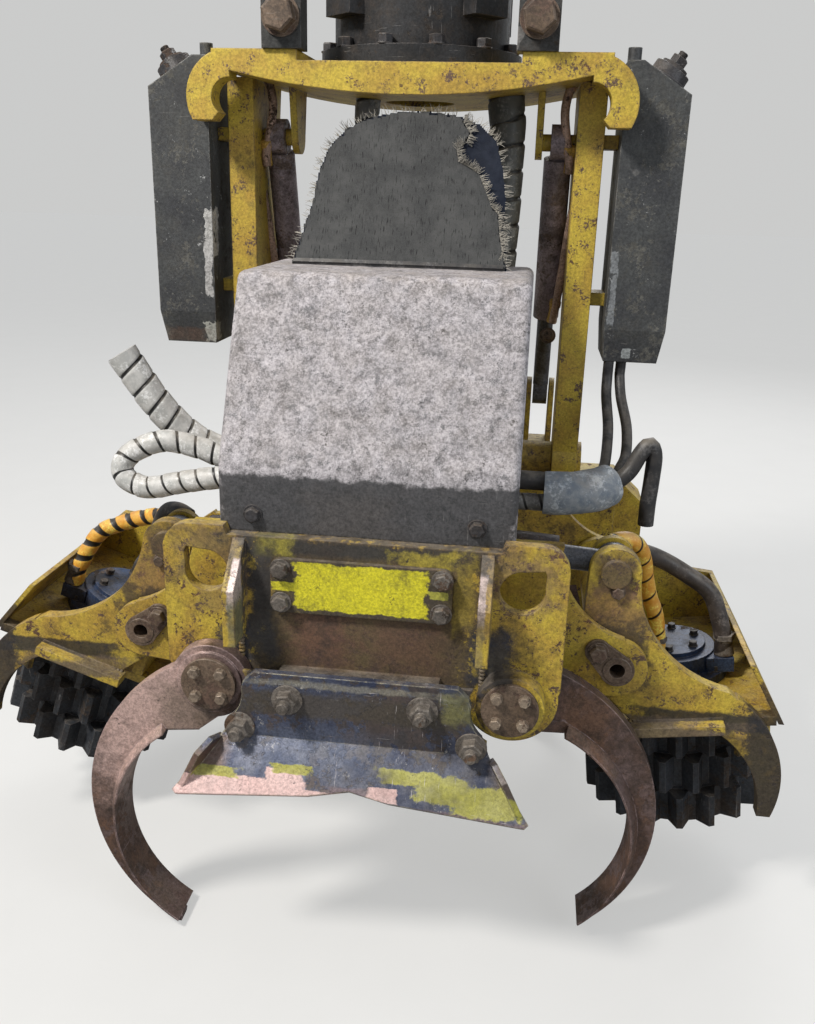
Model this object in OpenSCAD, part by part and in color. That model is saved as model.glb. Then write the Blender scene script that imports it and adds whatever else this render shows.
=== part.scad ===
// Harvester head: frame, delimbing knives, feed rollers, saw unit, tilt frame and rotator.
// The head lies level on its knife tips, with the fixed knife towards -Y and the saw unit towards +Y.
// All pieces are drawn about the front knife pivots (z = 0) and lifted onto the floor by seat().

/* [Frame] */
// Distance between the two knife pivots, across the head
pivot_spacing = 450; // [430:2:480]
// Thickness of the bearing plates
plate_t = 20; // [16:1:24]
// Thickness of the brackets that carry the roller arms
bracket_t = 16; // [12:1:20]
// Front face of the first arm bracket
bracket_y = 114; // [112:1:118]
// Half the outer width of the box beam
beam_half = 160; // [150:1:162]
// Wall of the box beam
beam_wall = 15; // [10:1:20]
// Underside of the beam, below the knife pivots
beam_drop = 60; // [50:1:70]
// Top of the beam, above the knife pivots
beam_rise = 229; // [222:1:236]
// Face of the last bearing plate, from the front face
frame_length = 742; // [735:1:780]

/* [Knives] */
// Depth of a front knife's blade along the head
blade_depth = 70; // [60:1:74]
// Depth of a rear knife's blade
rear_blade_depth = 58; // [50:1:62]
// Thickness of the blade
blade_t = 13; // [10:1:16]
// Thickness of the knife's web
web_t = 24; // [18:1:28]
// Depth of the tips below the pivots
knife_drop = 456; // [450:1:458]
// How much further open the front right knife stands, in degrees
right_knife_open = 9; // [0:1:12]
// Radius of the knife pins
knife_pin_r = 24; // [20:1:28]
// Thickness of the fixed knife
fixed_t = 12; // [10:1:16]
// Bend of the fixed knife, in degrees
fixed_bend = 40; // [34:1:46]

/* [Roller arms] */
// Distance of a roller arm's pivot from the centre line
arm_pivot_x = 388; // [380:1:396]
// Height of a roller arm's pivot above the knife pivots
arm_pivot_z = 5; // [0:1:8]
// Thickness of the claw plate
claw_t = 24; // [18:1:28]
// Radius of the arm pins
arm_pin_r = 22; // [18:1:26]
// How much further open the left roller arm stands, in degrees
left_arm_open = 11; // [0:1:12]
// Radius of the feed roller over its teeth
roller_r = 160; // [150:1:164]
// Height of the feed roller
roller_h = 200; // [190:1:230]
// Depth of the teeth
tooth_h = 24; // [14:1:32]
// Teeth round each tier
teeth = 18; // [12:1:22]
// Tiers of teeth
tiers = 3; // [2:1:4]
// Lean of the roller's axis, in degrees
roller_lean = 7; // [0:1:10]

/* [Hood] */
// Half the width of the hood
hood_half = 218; // [208:1:218]
// Height of the hood's upright front band
hood_band = 94; // [80:1:110]
// Height of the whole hood
hood_h = 361; // [340:1:364]
// Run of the sloping face
hood_run = 125; // [100:1:150]
// Length of the hood
hood_l = 385; // [370:1:390]
// Sheet of the hood
hood_t = 8; // [5:1:10]
// Thickness of the rubber flap
flap_t = 14; // [10:1:16]

/* [Tilt frame] */
// How far in front of the frame's rear end the tilt pivots lie
tilt_back = 242; // [237:1:247]
// Height of the tilt pivot above the knife pivots
tilt_z = 233; // [228:1:238]
// Width of a tilt arm
tilt_arm_w = 45; // [36:1:50]
// Underside of the arch at its dip, above the knife pivots
arch_z = 850; // [848:1:880]
// Thickness of the arch
arch_t = 42; // [34:1:48]
// Depth of the arch along the head
arch_depth = 350; // [330:1:370]
// Radius of the tilt cylinder's barrel
tilt_barrel_r = 24; // [20:1:24]
// Radius of the tilt cylinder's rod
tilt_rod_r = 15; // [12:1:17]

/* [Rotator] */
// Radius of the rotator's housing
rotator_r = 150; // [130:1:160]
// Height of the rotator's housing
rotator_h = 190; // [160:1:230]
// Radius of the hanger's bore for the crane tip's pin
hanger_bore_r = 25; // [20:1:30]

/* [Saw] */
// Length of the guide bar beyond its pivot
bar_l = 640; // [560:10:660]
// Width of the guide bar
bar_w = 92; // [80:1:100]
// Thickness of the guide bar
bar_t = 7; // [5:1:9]
// Depth of the saw box along the head
saw_box_depth = 112; // [100:1:130]

/* [Hidden] */

$fn = 64;
fit = 0.05;
gap = 0.3;
pivot_x = pivot_spacing / 2;
yellow = [0.85, 0.68, 0.10];
rust = [0.42, 0.28, 0.20];
dark = [0.13, 0.13, 0.14];
steel = [0.45, 0.44, 0.43];

// Height of the knife pivots, and the middle of the part along the head
pivot_h = knife_drop;
seat_front = -38;
wing_s = 97;
motor_l = 95;
motor_x = 124;
motor_z = -108;
roller_gap = 25;
saw_y = frame_length;
tilt_y = frame_length - tilt_back;
front_y = seat_front - fixed_t / 2 - wing_s * sin(fixed_bend) - fixed_t / 2 * cos(fixed_bend);
rear_y = saw_y + saw_box_depth + motor_l;

// Reach of a roller arm: its roller's lower outer edge, turned with the open arm
function arm_reach(open) =
  let (x = motor_x + roller_r * cos(roller_lean) + (roller_gap + roller_h) * sin(roller_lean))
  let (z = motor_z + roller_r * sin(roller_lean) - (roller_gap + roller_h) * cos(roller_lean))
  arm_pivot_x + x * cos(open) - z * sin(open);
seat_x = (arm_reach(left_arm_open) - arm_reach(0)) / 2;
seat_y = -(front_y + rear_y) / 2;

module seat() {
  translate([seat_x, seat_y, pivot_h]) children();
}

// A plate in the XZ plane, from y0 back by t, and one in the YZ plane, from x0 outwards by t
module plate_y(y0, t) {
  translate([0, y0 + t, 0]) rotate([90, 0, 0]) linear_extrude(t) children();
}

module plate_x(x0, t) {
  translate([x0, 0, 0]) rotate([90, 0, 90]) linear_extrude(t) children();
}

module rod_y(r, y0, y1, fn = 64) {
  translate([0, y0, 0]) rotate([-90, 0, 0]) cylinder(h = y1 - y0, r = r, $fn = fn);
}

module rod_x(r, x0, x1, fn = 64) {
  translate([x0, 0, 0]) rotate([0, 90, 0]) cylinder(h = x1 - x0, r = r, $fn = fn);
}

// side is 1 on the right and -1 on the left
module on_side(side) {
  if (side > 0) children();
  else mirror([1, 0, 0]) children();
}

module both_sides() {
  for (side = [1, -1]) on_side(side) children();
}

function unit(v) = v / norm(v);

// Points along a smooth curve through the chosen route points
function curve_at(p, i, t) =
  let (a = p[max(i - 1, 0)], b = p[i], c = p[i + 1], d = p[min(i + 2, len(p) - 1)])
  0.5 * (2 * b + t * (c - a) + t * t * (2 * a - 5 * b + 4 * c - d) + t * t * t * (3 * b - a - 3 * c + d));

function curve(p, steps) =
  concat([for (i = [0 : len(p) - 2]) for (k = [0 : steps - 1]) curve_at(p, i, k / steps)], [p[len(p) - 1]]);

// A round tube swept along a curve, with its rings turned by one reference direction
module tube(route, r, steps = 2, sides = 10, up = [0, 1, 0]) {
  p = curve(route, steps);
  n = len(p);
  rings = [
    for (i = [0 : n - 1])
      let (t = unit(p[min(i + 1, n - 1)] - p[max(i - 1, 0)]), u = unit(cross(t, up)), v = cross(t, u))
      for (k = [0 : sides - 1]) p[i] + r * (cos(360 * k / sides) * u + sin(360 * k / sides) * v)
  ];
  walls = [
    for (i = [0 : n - 2]) for (k = [0 : sides - 1])
      [i * sides + k, (i + 1) * sides + k, (i + 1) * sides + (k + 1) % sides, i * sides + (k + 1) % sides]
  ];
  first = [for (k = [0 : sides - 1]) k];
  last = [for (k = [sides - 1 : -1 : 0]) (n - 1) * sides + k];
  polyhedron(rings, concat([first, last], walls));
}

/* Knives: a crescent between two arcs, drawn right-handed about the pivot as [x, z] */
blade_out_c = [-66, -223];
blade_out_r = 271;
blade_in_c = [-50, -262];
blade_in_r = 211;
blade_root_a = 54.4;
blade_tip_a = -56.9;
hub_r = 60;
boss_r = 50;

module knife_web_2d() {
  circle(r = hub_r);
  polygon([[-13, -57], [20, -84], [72, -90], [125, -60], [58, 6], [38, 45]]);
  intersection() {
    difference() {
      translate(blade_out_c) circle(r = blade_out_r, $fn = 128);
      translate(blade_in_c) circle(r = blade_in_r + blade_t / 2, $fn = 128);
    }
    polygon([[54, 20], [300, 20], [300, -knife_drop], [68, -knife_drop], [58, -405], [72, -94]]);
  }
}

// The curved blade under the web, its front edge ground to a bevel
module knife_blade(y0, depth) {
  bevel = 20;
  translate([blade_in_c[0], y0, blade_in_c[1]])
    rotate([-90, 0, 0]) rotate([0, 0, -blade_root_a])
      rotate_extrude(angle = blade_root_a - blade_tip_a, $fn = 128)
        polygon([
          [blade_in_r, 0], [blade_in_r + 3, 0], [blade_in_r + blade_t, bevel],
          [blade_in_r + blade_t, depth], [blade_in_r, depth],
        ]);
  plate_y(y0 + bevel + 2, depth - bevel - 4) polygon([[22, -88], [72, -94], [84, -82], [74, -72], [14, -74]]);
}

module knife(blade_y, depth, web_y, hub_y0, hub_y1) {
  difference() {
    union() {
      plate_y(web_y, web_t) knife_web_2d();
      knife_blade(blade_y, depth);
      rod_y(boss_r, hub_y0, hub_y1);
    }
    rod_y(knife_pin_r + fit, hub_y0 - 1, hub_y1 + 1);
  }
}

knife_gap = 2;
left_web_y = -web_t - knife_gap;
left_blade_y = left_web_y - 18;
right_blade_y = left_blade_y + blade_depth + 6;
right_web_y = right_blade_y + 24;
rear_bay = 172;
rear_a_y = frame_length - rear_bay;
rear_left_blade_y = rear_a_y + bracket_t + 5;
rear_right_blade_y = rear_left_blade_y + rear_blade_depth + 6;
cover_y = left_web_y - 4;

module front_knife_left() color(rust) seat() on_side(-1) translate([pivot_x, 0, 0])
  knife(left_blade_y, blade_depth, left_web_y, cover_y + gap, -gap);

module front_knife_right() color(rust) seat() translate([pivot_x, 0, 0]) rotate([0, -right_knife_open, 0])
  knife(right_blade_y, blade_depth, right_web_y, plate_t + gap, bracket_y - gap);

module rear_knife(side) {
  blade_y = side > 0 ? rear_right_blade_y : rear_left_blade_y;
  color(rust) seat() on_side(side) translate([pivot_x, 0, 0])
    knife(blade_y, rear_blade_depth, blade_y + 22, rear_a_y + bracket_t + gap, frame_length - plate_t - gap);
}

/* Front plate: the wall, the two ears with their holes, the welded ribs and the fixed knife's seat */
ear_out = 297;
ear_top = 242;
ear_corner = 40;
rib_x = 172;
rib_w = 18;
rib_out = 62;
rib_bottom = 79;
seat_t = 7;
pad_half = 120;

module ear_2d() {
  translate([pivot_x, 0]) circle(r = 70);
  translate([ear_out - ear_corner, ear_top - ear_corner]) circle(r = ear_corner);
  polygon([
    [beam_half, -40], [beam_half, ear_top - 13], [200, ear_top - 13], [204, ear_top],
    [ear_out - ear_corner, ear_top], [ear_out, ear_top - ear_corner], [ear_out, 19], [pivot_x + 43, -55],
  ]);
}

module ear_hole_2d() {
  translate([232, 170]) circle(r = 33);
  polygon([[226, 202], [262, 206], [265, 199], [263, 160], [240, 160]]);
}

module front_plate() color(yellow) seat() {
  difference() {
    union() {
      plate_y(0, plate_t) {
        translate([-beam_half, -90]) square([2 * beam_half, beam_rise + 90]);
        for (m = [0, 1]) mirror([m, 0]) ear_2d();
      }
      translate([pivot_x, 0, 0]) rod_y(boss_r, cover_y + gap, 0);
      both_sides() plate_x(rib_x, rib_w)
        polygon([[0, beam_rise - 4], [-rib_out, 165], [-rib_out, rib_bottom], [0, rib_bottom]]);
      translate([-pad_half, seat_front + seat_t, -75]) cube([2 * pad_half, -seat_front - seat_t, 100]);
      plate_y(seat_front, seat_t) difference() {
        translate([-195, -75]) square([390, 105]);
        for (m = [0, 1]) mirror([m, 0]) translate([pivot_x, 0]) circle(r = 62);
      }
    }
    both_sides() plate_y(-1, plate_t + 2) ear_hole_2d();
    both_sides() translate([pivot_x, 0, 0]) rod_y(knife_pin_r + fit, cover_y - 1, plate_t + 1);
  }
}

/* Cover: a rounded plate with four corner bolts */
cover_w = 266;
cover_h = 84;
cover_t = 8;

module rounded_2d(w, h, r) {
  translate([-w / 2 + r, -h / 2]) square([w - 2 * r, h]);
  translate([-w / 2, -h / 2 + r]) square([w, h - 2 * r]);
  for (x = [-1, 1]) for (y = [-1, 1]) translate([x * (w / 2 - r), y * (h / 2 - r)]) circle(r = r);
}

module front_cover() color(yellow) seat()
  plate_y(-cover_t, cover_t) translate([0, 158]) difference() {
    rounded_2d(cover_w, cover_h, 14);
    for (x = [-118, 118]) for (z = [-26, 26]) translate([x, z]) circle(r = 7);
  }

/* Fixed knife: a seat plate with four studs, a bent blade with a notched edge and a gusset on each side */
bend_z = -72;
wing_half = 262;
notch_s = 78;

module fixed_knife() color(steel) seat() difference() {
  union() {
    plate_y(seat_front - fixed_t, fixed_t) difference() {
      polygon([[-150, 36], [150, 36], [166, 20], [198, bend_z], [-198, bend_z], [-166, 20]]);
      for (m = [0, 1]) mirror([m, 0]) translate([pivot_x, 0]) circle(r = 56);
    }
    translate([0, seat_front - fixed_t / 2, bend_z]) rotate([-fixed_bend, 0, 0])
      translate([0, fixed_t / 2, 0]) rotate([90, 0, 0]) linear_extrude(fixed_t)
        polygon([
          [-198, 2], [198, 2], [208, -16], [wing_half, -wing_s + 6], [wing_half - 6, -wing_s],
          [60, -notch_s - 4], [0, -notch_s + 8], [-60, -notch_s - 4], [-wing_half + 6, -wing_s],
          [-wing_half, -wing_s + 6], [-208, -16],
        ]);
    both_sides() translate([0, seat_front - fixed_t / 2, bend_z]) rotate([-fixed_bend, 0, 0])
      translate([200, 0, 0]) rotate([0, -31, 0]) plate_x(-5, 9)
        polygon([[0, -4], [-30, -18], [-38, -48], [0, -108]]);
  }
  for (x = [-100, 100]) translate([x, 0, -4]) rod_y(11, seat_front - fixed_t - 1, seat_front + 1);
  for (x = [-173, 173]) translate([x, 0, -56]) rod_y(11, seat_front - fixed_t - 1, seat_front + 1);
}

/* Beam: a box with windows for the arm cylinders, cheeks for the tilt pivots and lugs for cylinders */
claw_y = bracket_y + bracket_t + 5;
arm_back_y = rear_a_y - 5;
arm_back_t = 16;
cyl_y = claw_y + claw_t + 23;
arm_cyl_r = 32;
arm_rod_r = 19;
eye_half = 18;
anchor_x = 52;
anchor_z = 178;
pin_r = 14;
tilt_cyl_x = hood_half + 4 + 24;
tilt_arm_in = tilt_cyl_x + 27;
tilt_pin_r = 22;
rod_eye_y = tilt_y + 160;
rod_eye_z = tilt_z + 97;
tilt_eye_half = 14;
lug_t = 10;
lug_gap = 3;
cheek_t = 20;
window_half = 46;
wheel_y = 360;
wheel_z = -72;

module cheek_2d() {
  translate([tilt_y, tilt_z]) circle(r = 50);
  reach = rear_a_y - tilt_y;
  polygon([[tilt_y - reach, 100], [tilt_y - reach, 180], [tilt_y - 45, tilt_z + 20],
    [tilt_y + 45, tilt_z + 20], [tilt_y + reach, 180], [tilt_y + reach, 100]]);
}

module rod_lug_2d() {
  translate([rod_eye_y, rod_eye_z]) circle(r = 28);
  polygon([[rod_eye_y - 44, beam_rise], [rod_eye_y - 27, rod_eye_z + 6],
    [rod_eye_y + 27, rod_eye_z + 6], [rod_eye_y + 44, beam_rise]]);
}

// The side walls, each with its window for an arm cylinder and its cheek
module beam_sides() color(yellow) seat() both_sides() {
  plate_x(beam_half - beam_wall, beam_wall) difference() {
    translate([plate_t, -beam_drop]) square([frame_length - plate_t, beam_rise - beam_wall + beam_drop]);
    translate([cyl_y - window_half, 115]) square([2 * window_half, beam_rise]);
  }
  plate_x(beam_half, cheek_t) cheek_2d();
}

deck_ahead = 90;

module beam_deck() color(yellow) seat() translate([0, 0, beam_rise - beam_wall]) linear_extrude(beam_wall) difference() {
  union() {
    translate([-beam_half, plate_t]) square([2 * beam_half, frame_length - plate_t]);
    translate([-hood_half, plate_t]) square([2 * hood_half, tilt_y - deck_ahead - plate_t]);
    translate([-tilt_arm_in, rod_eye_y - 50]) square([2 * tilt_arm_in, 100]);
  }
  for (y = [90, 250, 440]) translate([0, y]) circle(r = 38);
}

module beam_floor() color(yellow) seat() translate([0, 0, -beam_drop]) linear_extrude(beam_wall) difference() {
  translate([beam_wall - beam_half, plate_t]) square([2 * (beam_half - beam_wall), frame_length - plate_t]);
  translate([-32, wheel_y - 95]) square([64, 175]);
}

module cylinder_anchors() color(yellow) seat() both_sides() {
  for (y = [cyl_y - eye_half - 4 - lug_t, cyl_y + eye_half + 4]) plate_y(y, lug_t) {
    translate([anchor_x, anchor_z]) circle(r = 26);
    translate([anchor_x - 26, anchor_z]) square([52, beam_rise - beam_wall - anchor_z]);
  }
  translate([anchor_x, 0, anchor_z]) rod_y(pin_r, cyl_y - eye_half - 5, cyl_y + eye_half + 5);
}

module tilt_pivots() color(yellow) seat() both_sides() translate([0, tilt_y, tilt_z]) {
  rod_x(34, beam_half + cheek_t, tilt_arm_in - gap);
  rod_x(tilt_pin_r, tilt_arm_in - 1, tilt_arm_in + tilt_arm_w + 1);
  rod_x(36, tilt_arm_in + tilt_arm_w + gap, tilt_arm_in + tilt_arm_w + 9);
}

module rod_lugs() color(yellow) seat() both_sides()
  for (x = [tilt_cyl_x - tilt_eye_half - lug_gap - lug_t, tilt_cyl_x + tilt_eye_half + lug_gap])
    plate_x(x, lug_t) rod_lug_2d();

/* Bearing brackets: a concave-topped plate with a lobe round each arm pivot */
lobe_r = 48;

module bracket_2d() difference() {
  union() {
    polygon([[beam_half, -beam_drop], [beam_half, 205], [291, 205], [arm_pivot_x + 12, 100],
      [arm_pivot_x, arm_pivot_z - lobe_r], [pivot_x, -62]]);
    translate([arm_pivot_x, arm_pivot_z]) circle(r = lobe_r);
    translate([pivot_x, 0]) circle(r = 62);
  }
  translate([430, 190]) circle(r = 139, $fn = 96);
  translate([arm_pivot_x, arm_pivot_z]) circle(r = arm_pin_r + fit);
  translate([pivot_x, 0]) circle(r = knife_pin_r + fit);
}

module end_plate_2d() difference() {
  union() {
    polygon([[beam_half, -beam_drop], [beam_half, 120], [225, 120], [pivot_x + 58, 20], [pivot_x, -62]]);
    translate([pivot_x, 0]) circle(r = 62);
  }
  translate([pivot_x, 0]) circle(r = knife_pin_r + fit);
}

module front_bracket() color(yellow) seat() both_sides() plate_y(bracket_y, bracket_t) bracket_2d();

module rear_bracket() color(yellow) seat() both_sides() {
  plate_y(rear_a_y, bracket_t) bracket_2d();
  plate_y(frame_length - plate_t, plate_t) end_plate_2d();
}

/* Pins: knife pins with their round covers, hollow arm pins with their keeper plates */
cover_r = 42;
keeper_t = 6;

module frame_pins() color(dark) seat() both_sides() {
  translate([pivot_x, 0, 0]) {
    rod_y(cover_r, cover_y - 6, cover_y);
    rod_y(knife_pin_r, cover_y, bracket_y + bracket_t);
    rod_y(knife_pin_r, rear_a_y, frame_length);
  }
  difference() {
    union() {
      translate([arm_pivot_x, 0, arm_pivot_z]) rod_y(arm_pin_r, bracket_y - keeper_t - 1, rear_a_y + bracket_t + 4);
      plate_y(bracket_y - keeper_t, keeper_t) {
        translate([arm_pivot_x, arm_pivot_z]) circle(r = arm_pin_r + 5);
        translate([arm_pivot_x - 32, arm_pivot_z + 30]) circle(r = 20);
        polygon([[arm_pivot_x - 18, arm_pivot_z - 20], [arm_pivot_x - 46, arm_pivot_z + 16],
          [arm_pivot_x - 18, arm_pivot_z + 44], [arm_pivot_x + 18, arm_pivot_z + 20]]);
      }
    }
    translate([arm_pivot_x, 0, arm_pivot_z]) rod_y(12, bracket_y - 40, rear_a_y + 60);
  }
}

/* Valve block under the hood: a manifold, its sections and their solenoids */
block_half = 140;
block_y = 70;
block_l = 290;

module valve_block() color(steel) seat() {
  translate([-block_half, block_y, beam_rise]) cube([2 * block_half, block_l, 70]);
  for (i = [0 : 5]) translate([-132 + 45 * i, 100, beam_rise + 70]) cube([38, 230, 60]);
}

module valve_solenoids() color(dark) seat()
  for (i = [0 : 5]) for (y = [150, 280]) translate([-113 + 45 * i, y, beam_rise + 130]) cylinder(h = 60, r = 15);

/* Hood: bent sheet, open below and behind, with a hole for each hose beside it: side, y, z and radius */
hood_y = plate_t;
hose_z = beam_rise + 34;
hood_holes = [
  [-1, 290, hose_z, 30], [-1, 170, hose_z, 22], [-1, 215, hose_z + 14, 22],
  [1, 190, hose_z + 19, 17], [1, 190, hose_z - 16, 16],
];

module hood_side_2d(t, more) {
  polygon([
    [hood_y + t, beam_rise - more], [hood_y + t, beam_rise + hood_band - t / 2],
    [hood_y + hood_run + t / 2, beam_rise + hood_h - t], [hood_y + hood_l + more, beam_rise + hood_h - t],
    [hood_y + hood_l + more, beam_rise - more],
  ]);
}

module hood() color(dark) seat() difference() {
  plate_x(-hood_half, 2 * hood_half) hood_side_2d(0, 0);
  plate_x(-hood_half + hood_t, 2 * (hood_half - hood_t)) hood_side_2d(hood_t, 1);
  for (h = hood_holes) translate([h[0] * hood_half, h[1], h[2]]) rod_x(h[3], -2 * hood_t, 2 * hood_t);
}

/* Flap: a torn piece of belt standing on the hood's rear edge and leaning back */
flap_y = 300;
flap_lean = 22;

module rubber_flap() color([0.36, 0.36, 0.38]) seat() difference() {
  translate([0, flap_y, beam_rise + hood_h]) rotate([90 - flap_lean, 0, 0])
    translate([0, 0, -flap_t]) linear_extrude(flap_t) polygon([
      [-175, -8], [-162, 47], [-147, 106], [-141, 156], [-126, 194], [-100, 222], [-62, 242], [-14, 254],
      [34, 256], [82, 250], [120, 236], [147, 210], [161, 163], [168, 115], [168, 66], [177, -8],
    ]);
  translate([-250, 200, beam_rise + hood_h - 100]) cube([500, 250, 100 + gap]);
}

/* Measuring wheel under the beam, on a forked arm */
wheel_r = 56;
wheel_t = 22;
wheel_teeth = 24;

module measuring_wheel() color(steel) seat() translate([-wheel_t / 2, wheel_y, wheel_z]) rotate([90, 0, 90])
  linear_extrude(wheel_t) difference() {
    polygon([for (i = [0 : 2 * wheel_teeth - 1]) let (r = i % 2 == 0 ? wheel_r : wheel_r - 9, a = 180 * i / wheel_teeth)
      [r * cos(a), r * sin(a)]]);
    circle(r = 8 + fit);
  }

module measuring_arm() color(yellow) seat() {
  for (side = [1, -1]) on_side(side) plate_x(wheel_t / 2 + 2, 9) {
    translate([wheel_y, wheel_z]) circle(r = 19);
    polygon([[wheel_y - 100, -beam_drop + beam_wall], [wheel_y - 100, 0], [wheel_y - 70, 0],
      [wheel_y + 8, wheel_z + 17], [wheel_y - 6, wheel_z - 18], [wheel_y - 90, -beam_drop + beam_wall]]);
  }
  translate([0, wheel_y, wheel_z]) rod_x(8, -wheel_t / 2 - 2, wheel_t / 2 + 2);
  translate([-60, wheel_y - 145, -beam_drop + beam_wall]) cube([120, 49, 12]);
}

/* Saw unit: a box open below, the saw motor, the bar in its holder and the chain */
saw_x = -195;
saw_z = 55;
saw_wall = 8;
bar_y = saw_y + saw_box_depth / 2;
box_r = 78;
box_end = saw_x + bar_l + 40;
holder_r = 42;
saw_hub_r = 28;
chain_h = 13;

module saw_box_2d(t) {
  translate([saw_x, saw_z]) circle(r = box_r - t);
  translate([saw_x, saw_z - 70 - t]) square([box_end - saw_x - 60, 70 + box_r]);
  polygon([[box_end - 80, saw_z + box_r - t], [box_end - t - 60, saw_z + box_r - t],
    [box_end - t, saw_z + 24], [box_end - t, saw_z - 70 - t], [box_end - 80, saw_z - 70 - t]]);
  translate([saw_x - box_r + t, saw_z - 70 - t]) square([2 * box_r - 2 * t, 70 + t]);
}

module saw_box() color(yellow) seat() difference() {
  plate_y(saw_y, saw_box_depth) saw_box_2d(0);
  plate_y(saw_y + saw_wall, saw_box_depth - 2 * saw_wall) saw_box_2d(saw_wall);
  translate([saw_x, 0, saw_z]) rod_y(saw_hub_r + 8, saw_y + saw_box_depth - saw_wall - 1, saw_y + saw_box_depth + 1);
  for (x = [0, 150, 300]) translate([x, 0, saw_z + 20]) rod_y(26, saw_y + saw_box_depth - 20, saw_y + saw_box_depth + 1);
}

module saw_motor() color(dark) seat() translate([saw_x, 0, saw_z]) difference() {
  union() {
    rod_y(66, saw_y + saw_box_depth, saw_y + saw_box_depth + 16);
    rod_y(50, saw_y + saw_box_depth + 16, rear_y - 8);
    rod_y(40, rear_y - 8, rear_y);
    translate([-30, saw_y + saw_box_depth + 30, 30]) cube([60, 44, 44]);
  }
  rod_y(saw_hub_r + fit, saw_y + saw_box_depth - 1, saw_y + saw_box_depth + 30);
}

module bar_2d(more) {
  nose_r = 34;
  translate([saw_x + bar_l - nose_r, saw_z]) circle(r = nose_r + more);
  translate([saw_x - 8, saw_z]) circle(r = bar_w / 2 - 4 + more);
  polygon([
    [saw_x - 8, saw_z - bar_w / 2 + 4 - more], [saw_x + 120, saw_z - bar_w / 2 - more],
    [saw_x + bar_l - 150, saw_z - bar_w / 2 - more], [saw_x + bar_l - nose_r, saw_z - nose_r - more],
    [saw_x + bar_l - nose_r, saw_z + nose_r + more], [saw_x + bar_l - 150, saw_z + bar_w / 2 + more],
    [saw_x + 120, saw_z + bar_w / 2 + more], [saw_x - 8, saw_z + bar_w / 2 - 4 + more],
  ]);
}

module saw_bar() color(steel) seat() {
  plate_y(bar_y - bar_t / 2, bar_t) bar_2d(0);
  translate([saw_x, 0, saw_z]) {
    rod_y(holder_r, bar_y - bar_t / 2 - 14, bar_y - bar_t / 2);
    rod_y(holder_r, bar_y + bar_t / 2, bar_y + bar_t / 2 + 20);
    rod_y(saw_hub_r, bar_y + bar_t / 2 + 20, saw_y + saw_box_depth + 24);
  }
}

// Cutter positions along the straight runs of the bar
cutters = 9;

module saw_chain() color(dark) seat() {
  plate_y(bar_y - 3, 6) difference() {
    bar_2d(chain_h - 5);
    bar_2d(gap);
  }
  for (side = [1, -1]) for (i = [0 : cutters - 1])
    translate([saw_x + 125 + i * (bar_l - 290) / (cutters - 1), 0, saw_z + side * (bar_w / 2 + chain_h - 6)])
      mirror([0, 0, side > 0 ? 0 : 1]) plate_y(bar_y - 5, 10) polygon([[-12, 0], [-12, 8], [8, 6], [12, 0]]);
}

/* Roller arms: claw plate with its cylinder lug, hub tube, roller deck, rim guard and skirt, back plate */
lug_x = -14;
lug_z = 152;
lug_r = 40;
arm_hub_r = 42;
roller_y = claw_y + claw_t + 23 + roller_r;
deck_t = 16;
deck_top = 6;
rim_r = 176;
rim_t = 10;
guard_t = 9;
guard_top = [212, 2];
guard_low = [270, -98];
shelf_out = 28;
motor_bore_r = 72;
claw_out_c = [96, -203];
claw_out_r = 186;
claw_in_c = [82, -254];
claw_in_r = 170;
claw_tip_z = -258;

module arm_place(side) {
  open = side < 0 ? left_arm_open : 0;
  seat() on_side(side) translate([arm_pivot_x, 0, arm_pivot_z]) rotate([0, -open, 0]) children();
}

// The roller's own axes: +Z up its axis, the origin on the deck's motor face
module roller_place() {
  translate([motor_x, roller_y, motor_z]) rotate([0, -roller_lean, 0]) children();
}

module claw_2d() {
  difference() {
    union() {
      translate([lug_x, lug_z]) circle(r = lug_r);
      circle(r = 60);
      polygon([[lug_x - lug_r, lug_z], [-60, 0], [-9, -59], [49, -117], [124, -94], [164, -105],
        [228, -100], [205, -56], [60, 60], [lug_x + lug_r, lug_z]]);
    }
    translate([216, 150]) circle(r = 190, $fn = 128);
  }
  intersection() {
    difference() {
      translate(claw_out_c) circle(r = claw_out_r, $fn = 128);
      translate(claw_in_c) circle(r = claw_in_r, $fn = 128);
    }
    polygon([[160, -100], [200, -40], [300, -40], [300, claw_tip_z], [251, claw_tip_z], [200, -150]]);
  }
}

module arm_span_2d(x0, x1) {
  translate([x0, claw_y + claw_t - roller_y]) square([x1 - x0, arm_back_y - arm_back_t - claw_y - claw_t]);
}

module ring_sector_2d(r0, r1, a0, a1) {
  intersection() {
    difference() {
      circle(r = r1, $fn = 96);
      circle(r = r0, $fn = 96);
    }
    polygon([[0, 0], for (i = [0 : 6]) let (a = a0 + (a1 - a0) * i / 6) 400 * [cos(a), sin(a)]]);
  }
}

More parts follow.
